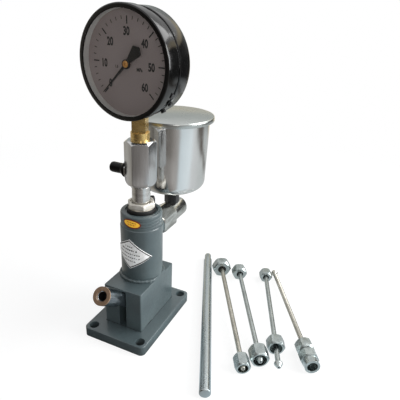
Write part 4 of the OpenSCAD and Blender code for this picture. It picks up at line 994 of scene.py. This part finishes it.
NUMBER_R, NUMBER_SIZE = 30, 10.5
NUDGE = {0: (-1.2, 0.6), 10: (0.6, -1.6), 20: (0.2, -2.2), 30: (-0.8, -0.6), 40: (-0.8, -1.8),
         50: (-2.0, -1.2), 60: (-1.2, 0.6)}
numbers = []
for value, (dx, dy) in NUDGE.items():
    a = scale_angle(value)
    numbers.append(words("number", str(value), NUMBER_SIZE,
                         (NUMBER_R * math.cos(a) + dx, NUMBER_R * math.sin(a) + dy), 0.72, 0.4))
numbers.append(words("unit", "MPa", 4.8, (14, -4.6), 0.85, 0.15))
numbers.append(words("class", "1.6", 4, (-14, -3.5), 0.85, 0.1))
piece("scale_numbers", together(*numbers), print_black, "tester",
      place=on_dial)
print("words on the dial:", len(numbers))

# %% [markdown]
# ### Pointer
# A thin needle and a wide wedge for its tail are cut from one blackened sheet; the hub is a
# black disc with a brass pin in it. A bent cube would need more work than an outline that is
# filled and drawn up to the sheet's thickness.


# %% Model the pointer
def sheet_shape(outline, thickness, base=0.0):
    bm = bmesh.new()
    face = bm.faces.new([bm.verts.new((x, y, base)) for x, y in outline])
    drawn = bmesh.ops.extrude_face_region(bm, geom=[face])
    lifted = [v for v in drawn["geom"] if isinstance(v, bmesh.types.BMVert)]
    bmesh.ops.translate(bm, vec=(0, 0, thickness), verts=lifted)
    bmesh.ops.recalc_face_normals(bm, faces=bm.faces)
    return bm


LENGTH, TAIL, POINTER_DEPTH = 42, 23, 6.9
needle = sheet_shape([(0, -1.4), (LENGTH, -0.3), (LENGTH, 0.3), (0, 1.4), (-TAIL + 4, 6),
                      (-TAIL, 0), (-TAIL + 4, -6)], 0.8)
hub = soften(turned([(3.25, -1.0), (4.5, -1.0), (4.5, 1.2), (4.0, 1.5), (3.25, 1.5)], 64), 0.2)
pin = turned([(0.9, -1.0), (3.2, -1.0), (3.2, 1.6), (2.6, 2.0), (0.9, 2.0)], 48)
pointer = moved(together(needle, hub), Matrix.Rotation(scale_angle(0), 4, "Z"))
piece("pointer_skin", pointer, pointer_black, "pointer", "pointer",
      at_depth(POINTER_DEPTH))
piece("pointer_pin", pin, hub_brass, "pointer", place=at_depth(POINTER_DEPTH))
print("pointer:", LENGTH, "mm to its tip")

# %% [markdown]
# ## Oil line
# The oil runs from the cup down through a black nut and a round bar, and along a long hexagon
# union into the body. The bar and its plug are kept from the CAD; the two hexagons need turned
# corners, so they are turned and milled.

# %% Model the oil line
CUP_Y, CUP_NUT_Z, CUP_NUT_H, CUP_NUT_AF, CUP_NUT_R = 83.7, 129, 24, 17, 9.82
UNION_AF, UNION_R, UNION_L = 30, 17.33, 33
union = flats(turned([(2.5, 0), (15, 0), (UNION_R, 2), (UNION_R, UNION_L - 2), (15, UNION_L),
                      (2.5, UNION_L)], 120), UNION_AF, 60)
piece("long_union", soften(union, 0.3, 30), line_zinc, "tester", "feed_union",
      along_y(FEED_Z, BOSS_END))
finished_copy("feed_bar", line_zinc, "tester", 0.3)
finished_copy("feed_plug", zinc, "tester", 0.3)
cup_nut = flats(turned([(2.5, 0), (8.4, 0), (CUP_NUT_R, 1.2), (CUP_NUT_R, CUP_NUT_H - 1.2),
                        (8.4, CUP_NUT_H), (2.5, CUP_NUT_H)], 120), CUP_NUT_AF)
piece("nut_under_cup", soften(cup_nut, 0.4, 30), black_steel, "tester", "cup_nut",
      Matrix.Translation((0, CUP_Y, CUP_NUT_Z)))
print("union:", UNION_L, "mm long,", UNION_AF, "mm over its flats")

# %% [markdown]
# ## Oil cup and lid
# The cup is drawn from tinned sheet, with a rounded foot and sides that open a little. Its lid
# hangs over the rim with a rolled edge. Solidify could give a single skin its wall. Here the
# profile runs down outside and back up inside instead, so the rims can have their own form.

# %% Model cup and lid
CUP_Z, CUP_H, CUP_FOOT_R, CUP_RIM_R, CUP_ROUND, WALL = 153, 92.9, 42.3, 45.6, 12, 1.2


def cup_curve(wall):
    r = CUP_ROUND - wall
    return [(CUP_FOOT_R - CUP_ROUND + r * math.sin(math.radians(a)),
             CUP_ROUND - r * math.cos(math.radians(a))) for a in range(0, 91, 6)]


cup = turned([(7, 0), *cup_curve(0), (CUP_RIM_R, CUP_H), (CUP_RIM_R - WALL, CUP_H),
              *reversed(cup_curve(WALL)), (7, WALL)], 160)
piece("cup_shell", cup, tinned, "tester", "oil_cup",
      Matrix.Translation((0, CUP_Y, CUP_Z)), sharp=40)
LID_R = 50.8
lid = turned([(0, 1.2), (LID_R - 1.6, 1.2), (LID_R - 0.7, 0.9), (LID_R - 0.15, 0.2),
              (LID_R, -0.6), (LID_R, -4.2), (LID_R - 0.35, -4.7), (LID_R - 0.9, -4.75),
              (LID_R - 1.3, -4.3), (LID_R - 1.3, -0.8), (LID_R - 1.9, 0), (0, 0)], 160)
piece("lid_shell", lid, lid_tinned, "cup_lid", "cup_lid",
      Matrix.Translation((0, CUP_Y, CUP_Z + CUP_H)), sharp=40)
print("the lid hangs over by", round(LID_R - CUP_RIM_R, 1), "mm")

# %% [markdown]
# ## Plate and sticker
# A thin rhombus plate is bent round the column, and an oval sticker round the band. Printing
# on a curve point by point is slow, so all print is laid out flat, cut into short steps and
# then bent round. The plate has a black border and ruled fields.


# %% Bend flat shapes round the column
PRINT_T, BEND_STEP = 0.05, 1.5


def bend_round(bm, radius, direction, height):
    """x runs round the column, y up, z out from its surface."""
    reach = max(abs(v.co.x) for v in bm.verts)
    x = -reach + BEND_STEP
    while x < reach:
        bmesh.ops.bisect_plane(bm, geom=bm.verts[:] + bm.edges[:] + bm.faces[:], dist=1e-5,
                               plane_co=(x, 0, 0), plane_no=(1, 0, 0))
        x += BEND_STEP
    for v in bm.verts:
        a = math.radians(direction) + v.co.x / radius
        r = radius + v.co.z
        v.co = (r * math.sin(a), COLUMN_Y - r * math.cos(a), height + v.co.y)
    return bm


def slanted(x, y, width, height, slope, thickness, base):
    """A short bar whose lower and upper edges rise by slope."""
    return sheet_shape([(x, y + x * slope), (x + width, y + (x + width) * slope),
                        (x + width, y + height + (x + width) * slope),
                        (x, y + height + x * slope)], thickness, base)


def frame_lines(corners, outer, inner, base):
    """A closed line between two shares of the outline's size."""
    return [sheet_shape([(p[0] * outer, p[1] * outer), (q[0] * outer, q[1] * outer),
                         (q[0] * inner, q[1] * inner), (p[0] * inner, p[1] * inner)],
                        PRINT_T, base)
            for p, q in zip(corners, corners[1:] + corners[:1])]


trial = bend_round(slanted(-20, 0, 40, 1, 0, PRINT_T, 0), COLUMN_R, 0, 0)
print("faces of a strip of 40 mm once it is bent:", len(trial.faces))
trial.free()

# %% [markdown]
# ### Rhombus plate
# The plate's long diagonal slopes a little, and its rows with it. Solid bars of black would
# look too heavy, so each row is a line of short fields of two widths.

# %% Print the plate
PLATE_LEN, PLATE_H, PLATE_LEAN, PLATE_T, PLATE_DIR = 54, 39, 2.8, 0.6, -2
PLATE_MID = (BAND_Z - BLOCK_TOP) / 2 + BLOCK_TOP + 3.4
PLATE_SLOPE, ROW_TOP, ROW_STEP, FIELD_STEP = -PLATE_LEAN / (PLATE_LEN / 2), 9.2, 4.6, 2.6
rhombus = [(-PLATE_LEN / 2, PLATE_LEAN), (0, -PLATE_H / 2), (PLATE_LEN / 2, -PLATE_LEAN),
           (0, PLATE_H / 2)]
finished_copy("name_plate", plate_silver, "tester")
printed = frame_lines(rhombus, 0.955, 0.88, PLATE_T)
for row, (left, right) in enumerate(((-6, 6), (-11, 11), (-15.5, 15.5), (-13, 13), (-8, 8))):
    for k in range(int((right - left) / FIELD_STEP)):
        wide = 1.8 if (k * 7 + row * 3) % 5 else 1.0
        tall = 1.8 if row == 1 else 1.1
        printed.append(slanted(left + k * FIELD_STEP, ROW_TOP - row * ROW_STEP, wide, tall,
                               PLATE_SLOPE, PRINT_T, PLATE_T))
piece("plate_print", bend_round(together(*printed), COLUMN_R, PLATE_DIR, PLATE_MID),
      print_black, "tester")
print("printed fields on the plate:", len(printed))

# %% [markdown]
# ### Oval sticker
# The sticker is a dark red oval with an orange field and a few red strokes. They could be one
# material with masks, but thin layers on each other keep clean edges.

# %% Print the sticker
STICKER_LEAN, STICKER_DIR, STICKER_MID = math.radians(6), 4, COLUMN_TOP - 8.2
finished_copy("oval_sticker", sticker_red, "tester")


def oval(width, height, count=48):
    leant = Matrix.Rotation(-STICKER_LEAN, 2)
    return [leant @ Vector((width / 2 * math.cos(2 * math.pi * k / count),
                            height / 2 * math.sin(2 * math.pi * k / count)))
            for k in range(count)]


field = bend_round(sheet_shape(oval(19.6, 8.0), 0.06, 0.25), BAND_R, STICKER_DIR, STICKER_MID)
piece("sticker_field", field, sticker_orange, "tester")
strokes = [slanted(x, y, width, 0.8, -0.1, 0.03, 0.31)
           for x, y, width in ((-5.6, 1.0, 2.6), (-2.0, 1.2, 1.6), (0.6, 1.0, 2.4),
                               (3.8, 1.2, 1.8), (-4.6, -1.8, 1.8), (-1.8, -1.6, 2.6),
                               (1.8, -1.8, 2.0))]
piece("sticker_print", bend_round(together(*strokes), BAND_R, STICKER_DIR, STICKER_MID),
      sticker_red, "tester")
print("sticker strokes:", len(strokes))

# %% [markdown]
# ## Loose pieces
# The handle bar and the pipes lie on the paper. Their long tubes are plain turned bar, which
# the CAD has right. Turning them again would gain nothing, so they are finished copies. Two of
# the pipes are a little bluer than the others.

# %% Finish the loose pieces
finished_copy("handle_bar", bar_zinc, "handle_bar", 0.2)
for number in (1, 2, 3, 4):
    name = f"pipe_{number}"
    finished_copy(name, blue_tube if number in (2, 3) else tube_zinc, name)
for name in ("pipe_1_near_nut", "pipe_2_near_nut", "pipe_3_near_nut", "pipe_4_nut"):
    finished_copy(name, loose_zinc, name, 0.2)
finished_copy("pipe_4_connector", loose_zinc, "pipe_4", 0.2)
print("pipes:", number)

# %% [markdown]
# ### Far nuts
# The far nuts show their backs. Each has a dark hollow round its tube, so a shallow pocket is cut
# there along the tube's direction, with a black ring at its bottom as painted shade. A dark spot
# in the material would lie flat on the face and slide off it when the size changes.

# %% Hollow backs of the far nuts
FAR_NUTS = (("pipe_1", (0.4816, -0.8762, -0.0214), 6), ("pipe_2", (0.4559, -0.8901, 0.0027), 4.9),
            ("pipe_3", (0.3546, -0.935, 0.0101), 4.4))
for name, way, wide in FAR_NUTS:
    nut, way = node_copy(name + "_far_nut"), Vector(way)
    end = max(v.co.dot(way) for v in nut.verts)
    back = [v.co.copy() for v in nut.verts if end - v.co.dot(way) < 0.01]
    place = (Matrix.Translation(sum(back, Vector()) / len(back))
             @ Vector((0, 0, 1)).rotation_difference(way).to_matrix().to_4x4())
    pocket = turned([(0, -2), (wide * 0.85, -2), (wide, 0), (wide, 1), (0, 1)], 48)
    made = piece(name + "_far_nut_skin", joined(nut, cuts=[moved(pocket, place)]), loose_zinc,
                 name + "_far_nut", name + "_far_nut")
    fine_edge(made, 0.2)
    # Painted shade: a black ring darkens the bottom of the pocket.
    pocket_shade = turned([(3.1, -1.98), (wide * 0.84, -1.98), (wide * 0.87, -1.2), (3.1, -1.5)], 48)
    piece(name + "_far_nut_painted_shade", pocket_shade, painted_shade_black, name + "_far_nut",
          place=place)
print("hollow backs:", len(FAR_NUTS))
